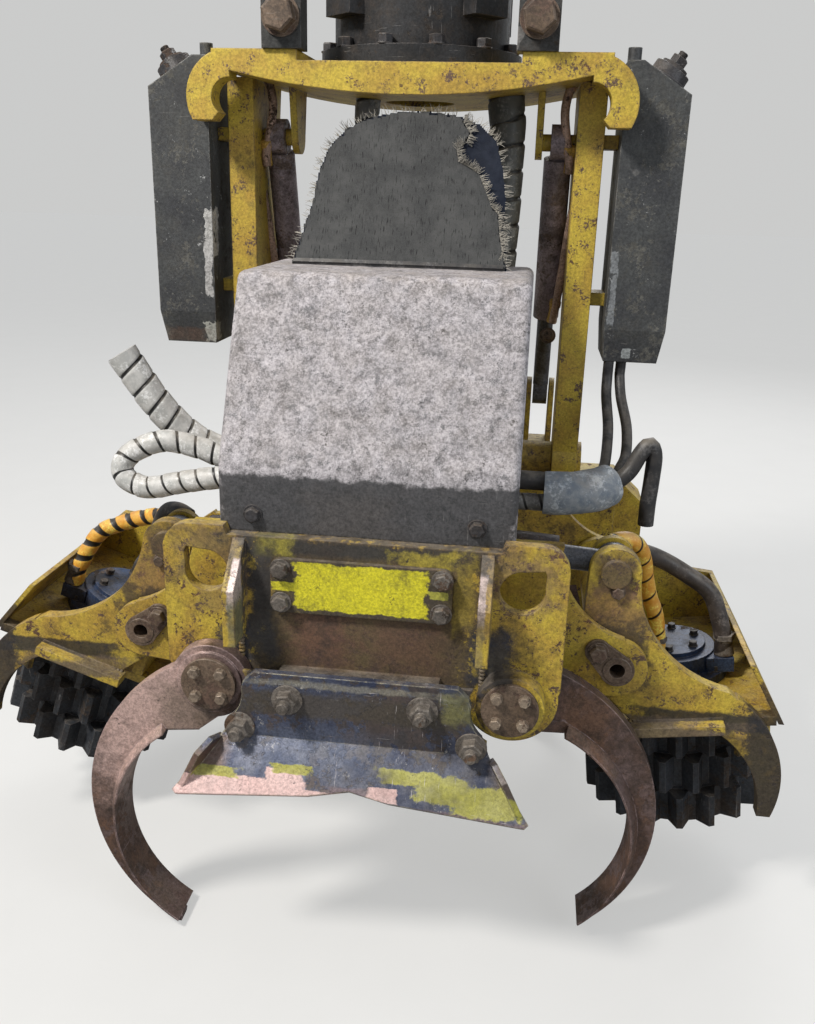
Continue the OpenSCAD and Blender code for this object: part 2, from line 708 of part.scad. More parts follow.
module roller_arm(side) color(yellow) arm_place(side) difference() {
  union() {
    plate_y(claw_y, claw_t) claw_2d();
    rod_y(arm_hub_r, claw_y + claw_t - 1, arm_back_y);
    plate_y(arm_back_y - arm_back_t, arm_back_t) {
      circle(r = 58);
      polygon([[-50, -20], [-20, -128], [160, -128], [guard_low[0] + guard_t, guard_low[1]],
        [guard_top[0] + guard_t, guard_top[1]], [155, 9], [60, 24], [30, 56]]);
    }
    plate_y(cyl_y + eye_half + 4, 14) {
      translate([lug_x, lug_z]) circle(r = lug_r - 6);
      polygon([[lug_x - lug_r + 6, lug_z], [-arm_hub_r + 4, 0], [arm_hub_r - 4, 0], [lug_x + lug_r - 6, lug_z]]);
    }
    translate([27, claw_y - shelf_out, -118]) rotate([0, -8, 0]) cube([152, shelf_out + 1, 16]);
    translate([lug_x, 0, lug_z]) rod_y(23, claw_y - 8, claw_y);
    roller_place() translate([0, 0, deck_top]) linear_extrude(84) arm_span_2d(-120, -100);
  }
  rod_y(arm_pin_r + fit, claw_y - 1, arm_back_y + 1);
}

// The floor that the motor stands on, its sloping guard outside and the skirt round the roller's front
module roller_deck(side) color(yellow) arm_place(side) {
  difference() {
    roller_place() translate([0, 0, deck_top - deck_t]) linear_extrude(deck_t) difference() {
      arm_span_2d(-150, 143);
      circle(r = motor_bore_r);
    }
    plate_y(claw_y, arm_back_y - claw_y) polygon([guard_top, guard_low, guard_low + [90, 0], guard_top + [90, 0]]);
  }
  plate_y(claw_y + claw_t, arm_back_y - arm_back_t - claw_y - claw_t)
    polygon([guard_top, guard_top + [guard_t, 0], guard_low + [guard_t, 0], guard_low]);
  roller_place() translate([0, 0, -80]) linear_extrude(80 + deck_top - deck_t + 2) ring_sector_2d(rim_r, rim_r + rim_t, -62, -36);
}

/* Hub motors and feed rollers */
spigot_r = 70;
shaft_r = 28;
well_r = 86;
well_z = -175;

module hub_motor(side) color(dark) arm_place(side) roller_place() {
  difference() {
    translate([0, 0, deck_top]) cylinder(h = 16, r = 98);
    for (i = [0 : 9]) rotate([0, 0, 36 * i]) translate([86, 0, deck_top + 8]) cylinder(h = 10, r = 6);
  }
  translate([0, 0, deck_top + 16]) cylinder(h = 30, r = 76);
  translate([0, 0, deck_top + 46]) cylinder(h = 8, r = 60);
  translate([54, -58, deck_top + 16]) cube([46, 36, 26]);
  translate([0, 0, -150]) cylinder(h = 150 + deck_top, r = spigot_r);
  translate([0, 0, well_z - 20]) cylinder(h = 60, r = shaft_r);
}

function star(n, r0, r1) = [
  for (i = [0 : n - 1]) for (q = [[0, r0], [0.28, r1], [0.46, r1], [0.74, r0]])
    let (a = 360 * (i + q[0]) / n) q[1] * [cos(a), sin(a)]
];

module feed_roller(side) color(dark) arm_place(side) roller_place() {
  groove = 10;
  tier_h = (roller_h - (tiers - 1) * groove) / tiers;
  difference() {
    union() {
      translate([0, 0, -roller_gap - roller_h]) cylinder(h = roller_h, r = roller_r - tooth_h - 6, $fn = 96);
      for (i = [0 : tiers - 1]) translate([0, 0, -roller_gap - roller_h + i * (tier_h + groove)])
        rotate([0, 0, i * 180 / teeth]) linear_extrude(tier_h) polygon(star(teeth, roller_r - tooth_h, roller_r));
    }
    translate([0, 0, well_z]) cylinder(h = 200, r = well_r);
    translate([0, 0, well_z - 200]) cylinder(h = 201, r = shaft_r + fit);
    translate([0, 0, -roller_gap - roller_h - 1]) cylinder(h = 21, r = well_r);
  }
}

/* Cylinders: drawn along +X from the pinned eye of the barrel */
module barrel(r, eye_r, eye_w, from, to, rod_r, bore_from) {
  difference() {
    union() {
      translate([0, 0, -eye_w / 2]) cylinder(h = eye_w, r = eye_r);
      translate([0, -r * 0.6, -eye_w / 2]) cube([from, r * 1.2, eye_w]);
      rod_x(r, from, to);
    }
    translate([0, 0, -eye_w]) cylinder(h = 2 * eye_w, r = pin_r + fit);
    rod_x(rod_r + fit, bore_from, to + 1);
  }
}

module piston_rod(r, eye_r, eye_w, from, eye) {
  rod_x(r, from, eye - eye_r + 8);
  translate([eye, 0, -eye_w / 2]) cylinder(h = eye_w, r = eye_r);
}

function lug_at(side) =
  let (open = side < 0 ? left_arm_open : 0)
  [arm_pivot_x + lug_x * cos(open) - lug_z * sin(open), arm_pivot_z + lug_x * sin(open) + lug_z * cos(open)];
function arm_cyl_len(side) = norm(lug_at(side) - [anchor_x, anchor_z]);
function arm_cyl_dir(side) = let (v = lug_at(side) - [anchor_x, anchor_z]) atan2(v[1], v[0]);
arm_barrel_l = 232;

// Turns +X to the cylinder's direction in the XZ plane, with the pins along Y
module arm_cylinder_place(side) {
  seat() on_side(side) translate([anchor_x, cyl_y, anchor_z])
    rotate([0, -arm_cyl_dir(side), 0]) rotate([90, 0, 0]) children();
}

module arm_cylinder(side) color(dark) arm_cylinder_place(side)
  barrel(arm_cyl_r, 25, 2 * eye_half, 30, arm_barrel_l, arm_rod_r, 50);

// The left rod stands almost fully drawn in, the right one still has 12 degrees of closing stroke ahead
function arm_rod_from(side) = side < 0 ? 56 : 88;

module arm_rod(side) color(steel) arm_cylinder_place(side)
  piston_rod(arm_rod_r, 29, 2 * eye_half, arm_rod_from(side), arm_cyl_len(side));

/* Tilt frame: two arms under an arch whose front edge curls into a hook on each side */
top_pin_y = tilt_y + 20;
top_pin_z = tilt_z + 557;
arch_top = arch_z + 64;
arch_sag_r = 1333;
arch_ahead = 130;
arch_y = tilt_y - arch_ahead;
flange_r = rotator_r + 23;
flange_z = arch_z + 48;
hook_x = 290;
hook_r = 72;
hook_t = arch_t;
arm_out = tilt_arm_in + tilt_arm_w;
tank_in = 343;
tank_w = 103;
tank_bottom = 434;
tank_top = 910;
tank_ahead = 80;
tank_y = tilt_y - tank_ahead;
tank_depth = 150;
tank_foot = 56;
tank_foot_a = 12;

module arch_2d() difference() {
  intersection() {
    translate([0, arch_z + arch_sag_r]) circle(r = arch_sag_r, $fn = 256);
    translate([-arm_out, arch_z - 20]) square([2 * arm_out, arch_top - arch_z + 20]);
  }
  translate([-flange_r - 5, flange_z]) square([2 * flange_r + 10, 100]);
}

module hook_2d() intersection() {
  translate([hook_x, arch_top - hook_r]) difference() {
    circle(r = hook_r);
    circle(r = hook_r - hook_t);
  }
  polygon([[hook_x - 1, arch_top - hook_r], [hook_x - 1, arch_top + 1], [hook_x + 90, arch_top + 1],
    [hook_x + 90, arch_top - 107], [hook_x + 30, arch_top - 107]]);
}

module tilt_arm_2d() {
  translate([tilt_y, tilt_z]) circle(r = 58);
  polygon([
    [tilt_y - 50, tilt_z - 8], [tilt_y - 50, arch_z + 30], [tilt_y + 140, arch_z + 30],
    [tilt_y + 104, arch_z - 150], [tilt_y + 60, tilt_z + 190], [tilt_y + 58, tilt_z],
  ]);
}

module top_lug_2d() {
  translate([top_pin_y, top_pin_z]) circle(r = 28);
  polygon([[top_pin_y - 28, top_pin_z], [top_pin_y - 44, arch_z + 30], [top_pin_y + 44, arch_z + 30],
    [top_pin_y + 28, top_pin_z]]);
}

module tilt_frame() color(yellow) seat() difference() {
  union() {
    plate_y(arch_y, arch_depth) arch_2d();
    both_sides() {
      plate_y(arch_y, hook_t) hook_2d();
      plate_x(tilt_arm_in, tilt_arm_w) tilt_arm_2d();
      plate_x(hood_half - 12, lug_t + 2) top_lug_2d();
      translate([0, top_pin_y, top_pin_z]) rod_x(pin_r, hood_half - 1, tilt_arm_in + 1);
      for (z = [tank_bottom + 90, tank_top - 130]) translate([arm_out - 1, tank_y + 50, z])
        cube([tank_in - arm_out + 1, 60, 22]);
    }
  }
  both_sides() translate([0, tilt_y, tilt_z]) rod_x(tilt_pin_r + fit, tilt_arm_in - 1, arm_out + 1);
  translate([0, arch_y + arch_depth / 2, arch_z - 30]) cylinder(h = 120, r = 60);
}

/* Stop blocks: bolted plates on the arch's front edge, either side of the rotator */
module stop_blocks() color(dark) seat() both_sides()
  plate_y(arch_y - 6, 44) translate([200 + 1, arch_top]) polygon([[-32, 0], [-32, 84], [-22, 94], [22, 94], [32, 84], [32, 0]]);

/* Dye tanks: moulded boxes with a chamfered outer shoulder, each with a filler cap */
module dye_tank(side) color(dark) seat() on_side(side) {
  difference() {
    plate_y(tank_y, tank_depth) polygon([
      [tank_in, tank_bottom + tank_foot], [tank_in, tank_top], [tank_in + 25, tank_top],
      [tank_in + tank_w, tank_top - 49], [tank_in + tank_w, tank_bottom + tank_foot],
      [tank_in + tank_w - 8, tank_bottom], [tank_in + 4, tank_bottom],
    ]);
    translate([tank_in - 1, tank_y, tank_bottom + tank_foot]) rotate([tank_foot_a, 0, 0])
      translate([0, -30, -2 * tank_foot]) cube([tank_w + 2, 30, 2 * tank_foot]);
  }
  translate([tank_in + 12, tank_y + 40, tank_top]) cylinder(h = 22, r = 11);
}

/* Tilt cylinders: barrels pinned to the tilt frame, rods to the beam */
tilt_cyl_v = [rod_eye_y - top_pin_y, rod_eye_z - top_pin_z];
tilt_cyl_len = norm(tilt_cyl_v);
tilt_cyl_a = atan2(tilt_cyl_v[1], tilt_cyl_v[0]);
tilt_barrel_l = 318;

// Turns +X to the cylinder's direction in the YZ plane, with the pins along X
module tilt_cylinder_place(side) {
  seat() on_side(side) translate([tilt_cyl_x, top_pin_y, top_pin_z])
    rotate([tilt_cyl_a, 0, 0]) rotate([90, 0, 90]) children();
}

module tilt_cylinder(side) color(dark) tilt_cylinder_place(side)
  barrel(tilt_barrel_r, 30, 2 * tilt_eye_half, 26, tilt_barrel_l, tilt_rod_r, 50);

module tilt_rod(side) color(steel) tilt_cylinder_place(side)
  piston_rod(tilt_rod_r, 25, 2 * tilt_eye_half, 60, tilt_cyl_len);

/* Rotator: flange bolted on the arch, housing with its ports, and the hanger with its two crossed pins */
rotator_y = arch_y + arch_depth / 2 + 12;
flange_t = 28;
fork_half = 62;
fork_t = 26;
link_pin_z = flange_z + flange_t + rotator_h + 62;
link_top_z = link_pin_z + 112;
link_half = fork_half - fork_t - 2;

module rotator_flange() color(dark) seat() translate([0, rotator_y, flange_z]) {
  difference() {
    cylinder(h = flange_t, r = flange_r);
    for (i = [0 : 11]) rotate([0, 0, 30 * i + 15]) translate([flange_r - 13, 0, -1]) cylinder(h = flange_t + 2, r = 8);
  }
  translate([0, 0, flange_t]) cylinder(h = 60, r = 50);
}

module rotator() color(dark) seat() translate([0, rotator_y, flange_z + flange_t + gap]) {
  difference() {
    union() {
      cylinder(h = rotator_h - 30, r = rotator_r);
      translate([0, 0, rotator_h - 30]) cylinder(h = 30, r = rotator_r - 22);
      for (i = [0 : 3]) rotate([0, 0, 90 * i + 45]) translate([rotator_r - 26, -34, 46]) cube([52, 68, 70]);
      both_sides() translate([fork_half - fork_t, 0, rotator_h]) plate_x(0, fork_t) {
        translate([0, 62 - gap]) circle(r = 46);
        translate([-60, -10]) square([120, 40]);
        polygon([[-60, 29], [-46, 62], [46, 62], [60, 29]]);
      }
    }
    translate([0, 0, -1]) cylinder(h = 64, r = 50 + fit);
    translate([0, 0, rotator_h + 62 - gap]) rod_x(pin_r + 11 + fit, -fork_half - 1, fork_half + 1);
  }
}

module hanger() color(dark) seat() translate([0, rotator_y, 0]) difference() {
  union() {
    translate([0, 0, link_pin_z]) rod_x(pin_r + 11, -fork_half - 8, fork_half + 8);
    translate([0, 0, link_pin_z]) rod_x(44, -link_half, link_half);
    translate([-link_half, -38, link_pin_z]) cube([2 * link_half, 76, link_top_z - link_pin_z]);
    translate([0, 0, link_top_z]) rod_y(46, -48, 48);
  }
  translate([0, 0, link_top_z]) rod_y(hanger_bore_r, -50, 50);
}

/* Hoses: the points of each route, first from the valve block or the piece that it comes from */
block_side = block_half + gap;
block_back = block_y + block_l + gap;
left_upper = [
  [-block_side, 290, hose_z], [-200, 290, hose_z], [-262, 288, hose_z + 2], [-314, 280, hose_z + 16],
  [-357, 270, 308], [-397, 260, 355], [-429, 254, 405], [-450, 250, 440],
];
left_lower = [
  [-block_side, 170, hose_z], [-200, 170, hose_z], [-266, 172, hose_z - 4], [-330, 176, 246],
  [-392, 180, 232], [-432, 184, 250], [-424, 192, 282], [-370, 204, 306], [-312, 213, 296],
  [-262, 215, hose_z + 16], [-200, 215, hose_z + 14], [-block_side, 215, hose_z + 14],
];
sleeve_x = 256;
right_upper = [[block_side, 190, hose_z + 19], [200, 190, hose_z + 19], [sleeve_x - gap, 190, hose_z + 19]];
right_lower = [[block_side, 190, hose_z - 16], [200, 190, hose_z - 16], [sleeve_x - gap, 190, hose_z - 16]];
sleeve_end = [358, 236, 268];
sleeve_dir = unit([22, 20, 4]);
sleeve = [
  [sleeve_x, 190, hose_z + 1], [sleeve_x + 14, 190, hose_z + 1], [sleeve_x + 28, 191, hose_z + 1],
  [312, 202, hose_z], sleeve_end - 24 * sleeve_dir, sleeve_end - 12 * sleeve_dir, sleeve_end,
];
loop = [
  for (s = [gap, 10, 20]) sleeve_end + s * sleeve_dir, [392, 256, 288], [408, 262, 318], [421, 266, 331],
  [430, 269, 312], [430, 270, 271], [428, 268, 232], [428, 268, 195],
];
tank_low = tank_bottom - gap;
tank_hose_a = [
  [380, 450, tank_low], [380, 450, tank_low - 14], [380, 450, tank_low - 28], [384, 430, 372],
  [394, 385, 330], [392, 335, 294], [380, 300, 277], [374, 280, 264],
];
tank_hose_b = [
  [358, 440, tank_low], [358, 440, tank_low - 14], [358, 440, tank_low - 28], [358, 425, 375],
  [362, 375, 329], [358, 320, 288], [352, 296, 272], [347, 284, 262],
];

// The risers end on the arch's underside, square to its curve
function arch_under(x) = [x, 500, arch_z + arch_sag_r - sqrt(pow(arch_sag_r + gap, 2) - x * x)];
function arch_in(x) = unit([-x, 0, sqrt(arch_sag_r * arch_sag_r - x * x)]);
riser = [
  [96, block_back, 265], [96, 376, 265], [96, 392, 265], [110, 425, 315], [136, 446, 400], [150, 462, 520],
  [156, 482, 660], [157, 499, 800], for (s = [32, 16, 0]) arch_under(152) - s * arch_in(152),
];
riser_left = [
  [-80, block_back, 262], [-80, 376, 262], [-80, 392, 262], [-82, 428, 318], [-84, 448, 420], [-85, 465, 550],
  [-86, 488, 690], [-86, 499, 800], for (s = [32, 16, 0]) arch_under(-84) - s * arch_in(-84),
];

// The hub motor's hose, in the arm's axes: from the lug plate to the motor's port
port_r = 84;
function port(s) = [
  motor_x + port_r * cos(roller_lean) - s * sin(roller_lean), roller_y - 40,
  motor_z + port_r * sin(roller_lean) + s * cos(roller_lean)
];
port_top = deck_top + 16 + 26 + gap;
motor_hose = [
  for (s = [gap, 12, 24]) [0, cyl_y + eye_half + 18 + s, 150], [22, 262, 146], [70, 292, 124],
  [124, 306, 92], [170, 308, 56], for (s = [34, 17, 0]) port(port_top + s),
];

module motor_hose_piece(side) color(dark) arm_place(side) tube(motor_hose, 15, up = [1, 0, 1]);

module hose_left_upper() color(dark) seat() tube(left_upper, 27);

module hose_left_lower() color(dark) seat() tube(left_lower, 19, up = [0, 1, 0.01]);

module hose_right_sleeve() color(dark) seat() {
  tube(right_upper, 15);
  tube(right_lower, 14);
  tube(sleeve, 36);
  tube(loop, 13);
}

module hose_right_pair() color(dark) seat() {
  tube(tank_hose_a, 9, up = [1, 0, 0]);
  tube(tank_hose_b, 9, up = [1, 0, 0]);
}

module hose_rise() color(dark) seat() {
  tube(riser, 32, up = [1, 0, 0]);
  tube(riser_left, 22, up = [1, 0, 0]);
}

front_plate();
front_cover();
fixed_knife();
beam_sides();
beam_deck();
beam_floor();
cylinder_anchors();
tilt_pivots();
rod_lugs();
front_bracket();
rear_bracket();
frame_pins();
valve_block();
valve_solenoids();
hood();
rubber_flap();
measuring_arm();
measuring_wheel();
saw_box();
saw_motor();
saw_bar();
saw_chain();
front_knife_left();
front_knife_right();
rear_knife(-1);  // rear_knife_left
rear_knife(1);  // rear_knife_right
roller_arm(-1);  // roller_arm_left
roller_arm(1);  // roller_arm_right
roller_deck(-1);  // roller_deck_left
roller_deck(1);  // roller_deck_right
hub_motor(-1);  // hub_motor_left
hub_motor(1);  // hub_motor_right
feed_roller(-1);  // feed_roller_left
feed_roller(1);  // feed_roller_right
arm_cylinder(-1);  // arm_cylinder_left
arm_cylinder(1);  // arm_cylinder_right
arm_rod(-1);  // arm_rod_left
arm_rod(1);  // arm_rod_right
tilt_frame();
stop_blocks();
dye_tank(-1);  // dye_tank_left
dye_tank(1);  // dye_tank_right
tilt_cylinder(-1);  // tilt_cylinder_left
tilt_cylinder(1);  // tilt_cylinder_right
tilt_rod(-1);  // tilt_rod_left
tilt_rod(1);  // tilt_rod_right
rotator_flange();
rotator();
hanger();
motor_hose_piece(-1);  // motor_hose_left
motor_hose_piece(1);  // motor_hose_right
hose_left_upper();
hose_left_lower();
hose_right_sleeve();
hose_right_pair();
hose_rise();
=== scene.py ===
"""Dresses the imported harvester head: worn paint, bare steel, fasteners, hoses, hood and torn flap."""

import logging
import math
import random
from dataclasses import dataclass, replace
from enum import Enum
from typing import Callable, Iterator, Sequence

import bmesh
import bpy
from mathutils import Matrix, Vector, noise


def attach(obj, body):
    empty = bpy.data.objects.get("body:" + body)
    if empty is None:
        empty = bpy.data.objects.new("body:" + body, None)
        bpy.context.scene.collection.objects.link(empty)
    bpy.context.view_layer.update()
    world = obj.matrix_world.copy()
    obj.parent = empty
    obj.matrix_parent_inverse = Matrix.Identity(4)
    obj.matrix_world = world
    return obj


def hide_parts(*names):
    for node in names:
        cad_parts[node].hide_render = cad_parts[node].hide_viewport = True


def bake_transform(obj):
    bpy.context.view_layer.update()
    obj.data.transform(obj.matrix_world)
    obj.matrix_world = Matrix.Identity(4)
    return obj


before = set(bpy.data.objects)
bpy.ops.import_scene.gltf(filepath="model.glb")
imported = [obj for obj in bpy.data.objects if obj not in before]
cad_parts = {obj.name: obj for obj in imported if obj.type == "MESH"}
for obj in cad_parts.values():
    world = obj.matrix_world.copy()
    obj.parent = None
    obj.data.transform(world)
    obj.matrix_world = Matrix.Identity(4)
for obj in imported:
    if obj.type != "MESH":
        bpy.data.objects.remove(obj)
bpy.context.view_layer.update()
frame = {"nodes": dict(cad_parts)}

log = logging.getLogger("harvester_head")

Colour = tuple[float, float, float]
Point = tuple[float, float, float]
Socket = bpy.types.NodeSocket

MM = 0.001
SEAT = Vector((26.8995, -419.0267, 456.0)) * MM  # from the head's own axes to the row frame
SIDES = {-1: "left", 1: "right"}
FORWARD, UP = Vector((0, -1, 0)), Vector((0, 0, 1))

ARM_PIVOT = (388.0, 5.0)  # x and z of a roller arm's pin
ARM_OPEN = {-1: 11.0, 1: 0.0}  # how far each roller arm stands open, in degrees
ROLLER_ORIGIN = (124.0, 342.0, -108.0)  # the roller's place in the arm's own axes
ROLLER_LEAN = math.radians(7.0)


def head(x: float, y: float, z: float) -> Vector:
    """Return a row-frame point in metres from the head's own millimetres."""
    return Vector((x, y, z)) * MM + SEAT


def arm_spot(side: int, x: float, y: float, z: float) -> Point:
    """Return the head's millimetres of a roller arm's own millimetres."""
    turn = math.radians(ARM_OPEN[side])
    cos, sin = math.cos(turn), math.sin(turn)
    return side * (ARM_PIVOT[0] + x * cos - z * sin), y, ARM_PIVOT[1] + x * sin + z * cos


def circle(count: int, radius: float, start: float = 0.0) -> Iterator[tuple[float, float, float]]:
    """Yield x, y and the angle in degrees of evenly spaced places on a circle."""
    for number in range(count):
        turn = math.radians(360 / count * number + start)
        yield radius * math.cos(turn), radius * math.sin(turn), math.degrees(turn)


# --------------------------------------------------------------------------- node trees


class Graph:
    """Short calls that fill one node tree."""

    def __init__(self, tree: bpy.types.NodeTree) -> None:
        """Keep the tree that the calls write to."""
        self.tree = tree

    def plug(self, socket: Socket, value) -> None:
        """Link a socket to another, or give it a value; three numbers are a colour where it takes one."""
        if isinstance(value, Socket):
            self.tree.links.new(value, socket)
        elif isinstance(value, tuple) and len(value) == 3 and socket.type == "RGBA":
            socket.default_value = (*value, 1.0)
        else:
            socket.default_value = value

    def add(self, kind: str, inputs: dict | None = None, **settings) -> bpy.types.Node:
        """Add a node.

        Args:
            kind: The end of the node's type name, such as Math for ShaderNodeMath.
            inputs: Sockets by name or number, each linked or given a value.
            settings: Attributes of the node.

        Returns:
            The new node.
        """
        node = self.tree.nodes.new(f"ShaderNode{kind}")
        for name, value in settings.items():
            setattr(node, name, value)
        for key, value in (inputs or {}).items():
            self.plug(node.inputs[key], value)
        return node

    def math(self, operation: str, a, b) -> Socket:
        """Return a maths node's result for two values or sockets."""
        return self.add("Math", {0: a, 1: b}, operation=operation).outputs[0]

    def times(self, a, b) -> Socket:
        """Return a times b."""
        return self.math("MULTIPLY", a, b)

    def plus(self, a, b) -> Socket:
        """Return a plus b."""
        return self.math("ADD", a, b)

    def minus(self, a, b) -> Socket:
        """Return a minus b."""
        return self.math("SUBTRACT", a, b)

    def most(self, a, b) -> Socket:
        """Return the greater of a and b."""
        return self.math("MAXIMUM", a, b)

    def noise(self, vector, scale, detail: float = 5.0, rough: float = 0.6) -> Socket:
        """Return a noise value between 0 and 1 at that scale."""
        inputs = {"Vector": vector, "Scale": scale, "Detail": detail, "Roughness": rough}
        return self.add("TexNoise", inputs).outputs["Fac"]

    def span(self, value, low, high, to_low: float = 0.0, to_high: float = 1.0) -> Socket:
        """Return value mapped smoothly from low..high to to_low..to_high."""
        inputs = {"Value": value, "From Min": low, "From Max": high, "To Min": to_low, "To Max": to_high}
        return self.add("MapRange", inputs, interpolation_type="SMOOTHSTEP").outputs["Result"]

    def mapped(self, vector, **settings) -> Socket:
        """Return the vector turned and scaled."""
        return self.add("Mapping", {"Vector": vector, **settings}).outputs[0]

    def mix(self, factor, a, b) -> Socket:
        """Return colour a turning to colour b by factor."""
        return self.add("Mix", {0: factor, 6: a, 7: b}, data_type="RGBA").outputs[2]

    def blend(self, factor, a, b) -> Socket:
        """Return number a turning to number b by factor."""
        return self.add("Mix", {0: factor, 2: a, 3: b}, data_type="FLOAT").outputs[0]

    def spot(self, kind: str = "Object") -> Socket:
        """Return the surface's coordinates of that kind."""
        return self.add("TexCoord").outputs[kind]

    def bump(self, strength: float, distance: float, height, **inputs) -> Socket:
        """Return the normal that a height gives, with the distance in millimetres."""
        inputs |= {"Strength": strength, "Distance": distance * MM, "Height": height}
        return self.add("Bump", inputs).outputs[0]


@dataclass(frozen=True)
class Effect:
    """A node group that several finishes place, each with its own values."""

    name: str
    fill: Callable[[Graph, bpy.types.NodeOutputs], Sequence[Socket]]
    inputs: tuple[tuple[str, float | Point | None], ...] = ()
    outputs: tuple[str, ...] = ("Mask",)

    def tree(self) -> bpy.types.NodeTree:
        """Return the group's tree, built once under its name."""
        if self.name in bpy.data.node_groups:
            return bpy.data.node_groups[self.name]
        tree = bpy.data.node_groups.new(self.name, "ShaderNodeTree")
        for label, default in (("Vector", None), *self.inputs):
            kind = "Float" if isinstance(default, float) else "Vector"
            socket = tree.interface.new_socket(label, in_out="INPUT", socket_type=f"NodeSocket{kind}")
            if default is not None:
                socket.default_value = default
        for label in self.outputs:
            kind = "Vector" if label == "Normal" else "Float"
            tree.interface.new_socket(label, in_out="OUTPUT", socket_type=f"NodeSocket{kind}")
        start, end = (tree.nodes.new(f"NodeGroup{end}") for end in ("Input", "Output"))
        for number, socket in enumerate(self.fill(Graph(tree), start.outputs)):
            tree.links.new(socket, end.inputs[number])
        return tree

    def place(self, graph: Graph, vector: Socket, **inputs) -> bpy.types.Node:
        """Place the group in a material's graph and set its inputs by name."""
        node = graph.tree.nodes.new("ShaderNodeGroup")
        node.node_tree = self.tree()
        for key, value in {"Vector": vector, **inputs}.items():
            graph.plug(node.inputs[key], value)
        return node

    def mask(self, graph: Graph, vector: Socket, **inputs) -> Socket:
        """Place the group and return its mask."""
        return self.place(graph, vector, **inputs).outputs[0]


def fill_wear(g: Graph, given: bpy.types.NodeOutputs) -> Sequence[Socket]:
    """Mix two sizes of noise and cut them at the level, for blotches that have worn through."""
    large = g.noise(given["Vector"], g.times(given["Scale"], 0.8), 3.0, 0.5)
    small = g.noise(given["Vector"], g.times(given["Scale"], 4.6), 9.0, 0.74)
    cut = g.blend(given["Level"], 0.67, 0.35)
    soft = given["Soft"]
    return [g.span(g.blend(0.56, large, small), g.minus(cut, soft), g.plus(cut, soft))]


def fill_edge(g: Graph, given: bpy.types.NodeOutputs) -> Sequence[Socket]:
    """Compare the rounded normal with the surface's own, for a mask along sharp edges."""
    rounded = g.add("Bevel", {"Radius": given["Radius"]}, samples=6).outputs[0]
    normal = g.add("NewGeometry").outputs["Normal"]
    dot = g.add("VectorMath", {0: rounded, 1: normal}, operation="DOT_PRODUCT").outputs["Value"]
    ragged = g.noise(given["Vector"], 55.0, 4.0)
    return [g.times(g.span(g.minus(1.0, dot), 0.004, 0.09), g.span(ragged, 0.38, 0.60)), rounded]


def fill_dust(g: Graph, given: bpy.types.NodeOutputs) -> Sequence[Socket]:
    """Take the upward share of the normal and break it up, for dust that lies on what faces up."""
    up = g.add("SeparateXYZ", {0: g.add("NewGeometry").outputs["Normal"]}).outputs["Z"]
    broken = g.noise(given["Vector"], 26.0, 7.0, 0.7)
    return [g.times(g.span(up, 0.05, 0.9), g.span(broken, 0.36, 0.62))]


def fill_scratches(g: Graph, given: bpy.types.NodeOutputs) -> Sequence[Socket]:
    """Stretch a noise along three directions and keep its peaks where a broad noise is high."""
    total = 0.0
    for turn, size, spread in (((0.3, 0.5, 0.4), (640.0, 17.0, 26.0), 0.024),
                               ((-0.5, 0.9, -0.7), (21.0, 560.0, 19.0), 0.036),
                               ((1.2, -0.4, 0.9), (24.0, 20.0, 700.0), 0.030)):
        along = g.mapped(given["Vector"], Rotation=turn, Scale=size)
        line = g.span(g.noise(along, 1.0, 2.0, 0.5), 0.69, 0.73)
        where = g.span(g.noise(along, spread, 2.0, 0.5), 0.50, 0.62)
        total = g.most(total, g.times(line, where))
    return [total]


def fill_patch(g: Graph, given: bpy.types.NodeOutputs) -> Sequence[Socket]:
    """Measure how far a point lies from a centre in half sizes, for one ragged patch."""
    away = g.add("VectorMath", {0: given["Vector"], 1: given["Centre"]}, operation="SUBTRACT").outputs[0]
    part = g.add("VectorMath", {0: away, 1: given["Half"]}, operation="DIVIDE").outputs[0]
    x, y, z = (g.math("ABSOLUTE", axis, 0.0) for axis in g.add("SeparateXYZ", {0: part}).outputs)
    ragged = g.minus(g.noise(given["Vector"], 42.0, 7.0, 0.7), 0.5)
    reach = g.plus(g.most(g.most(x, y), z), g.times(ragged, given["Ragged"]))
    return [g.minus(1.0, g.span(reach, g.minus(1.0, given["Soft"]), g.plus(1.0, given["Soft"])))]


WEAR = Effect("worn_blotches", fill_wear, (("Scale", 8.0), ("Level", 0.5), ("Soft", 0.014)))
EDGE = Effect("edge_rounding", fill_edge, (("Radius", 0.003),), ("Mask", "Normal"))
DUST = Effect("settled_dust", fill_dust)
SCRATCHES = Effect("fine_scratches", fill_scratches)
PATCH = Effect("ragged_patch", fill_patch, (("Centre", None), ("Half", (1.0, 1.0, 1.0)), ("Soft", 0.1),
                                            ("Ragged", 1.0)))


def shaded(colour: Colour, share: float, extra: float = 0.0) -> Colour:
    """Return a colour times a share plus an extra, at most 1."""
    return tuple(min(1.0, share * part + extra) for part in colour)


@dataclass(frozen=True)
class Coating:
    """What covers a piece; its material is built once under its name."""

    name: str

    def surface(self, g: Graph) -> dict[str, object]:
        """Return the value or socket of each socket of the Principled shader that changes."""
        raise NotImplementedError

    def build(self) -> bpy.types.Material:
        """Return the material."""
        if self.name in bpy.data.materials:
            return bpy.data.materials[self.name]
        material = bpy.data.materials.new(self.name)
        material.use_nodes = True
        g = Graph(material.node_tree)
        shader = g.tree.nodes["Principled BSDF"]
        for socket, value in self.surface(g).items():
            g.plug(shader.inputs[socket], value)
        return material


@dataclass(frozen=True)
class Patch:
    """A local patch of another colour, in the head's own millimetres."""

    centre: Point
    half: Point
    colour: Colour
    strength: float = 1.0
    soft: float = 0.12
    ragged: float = 1.6
    rough: float = 0.6
    metal: float = 0.0


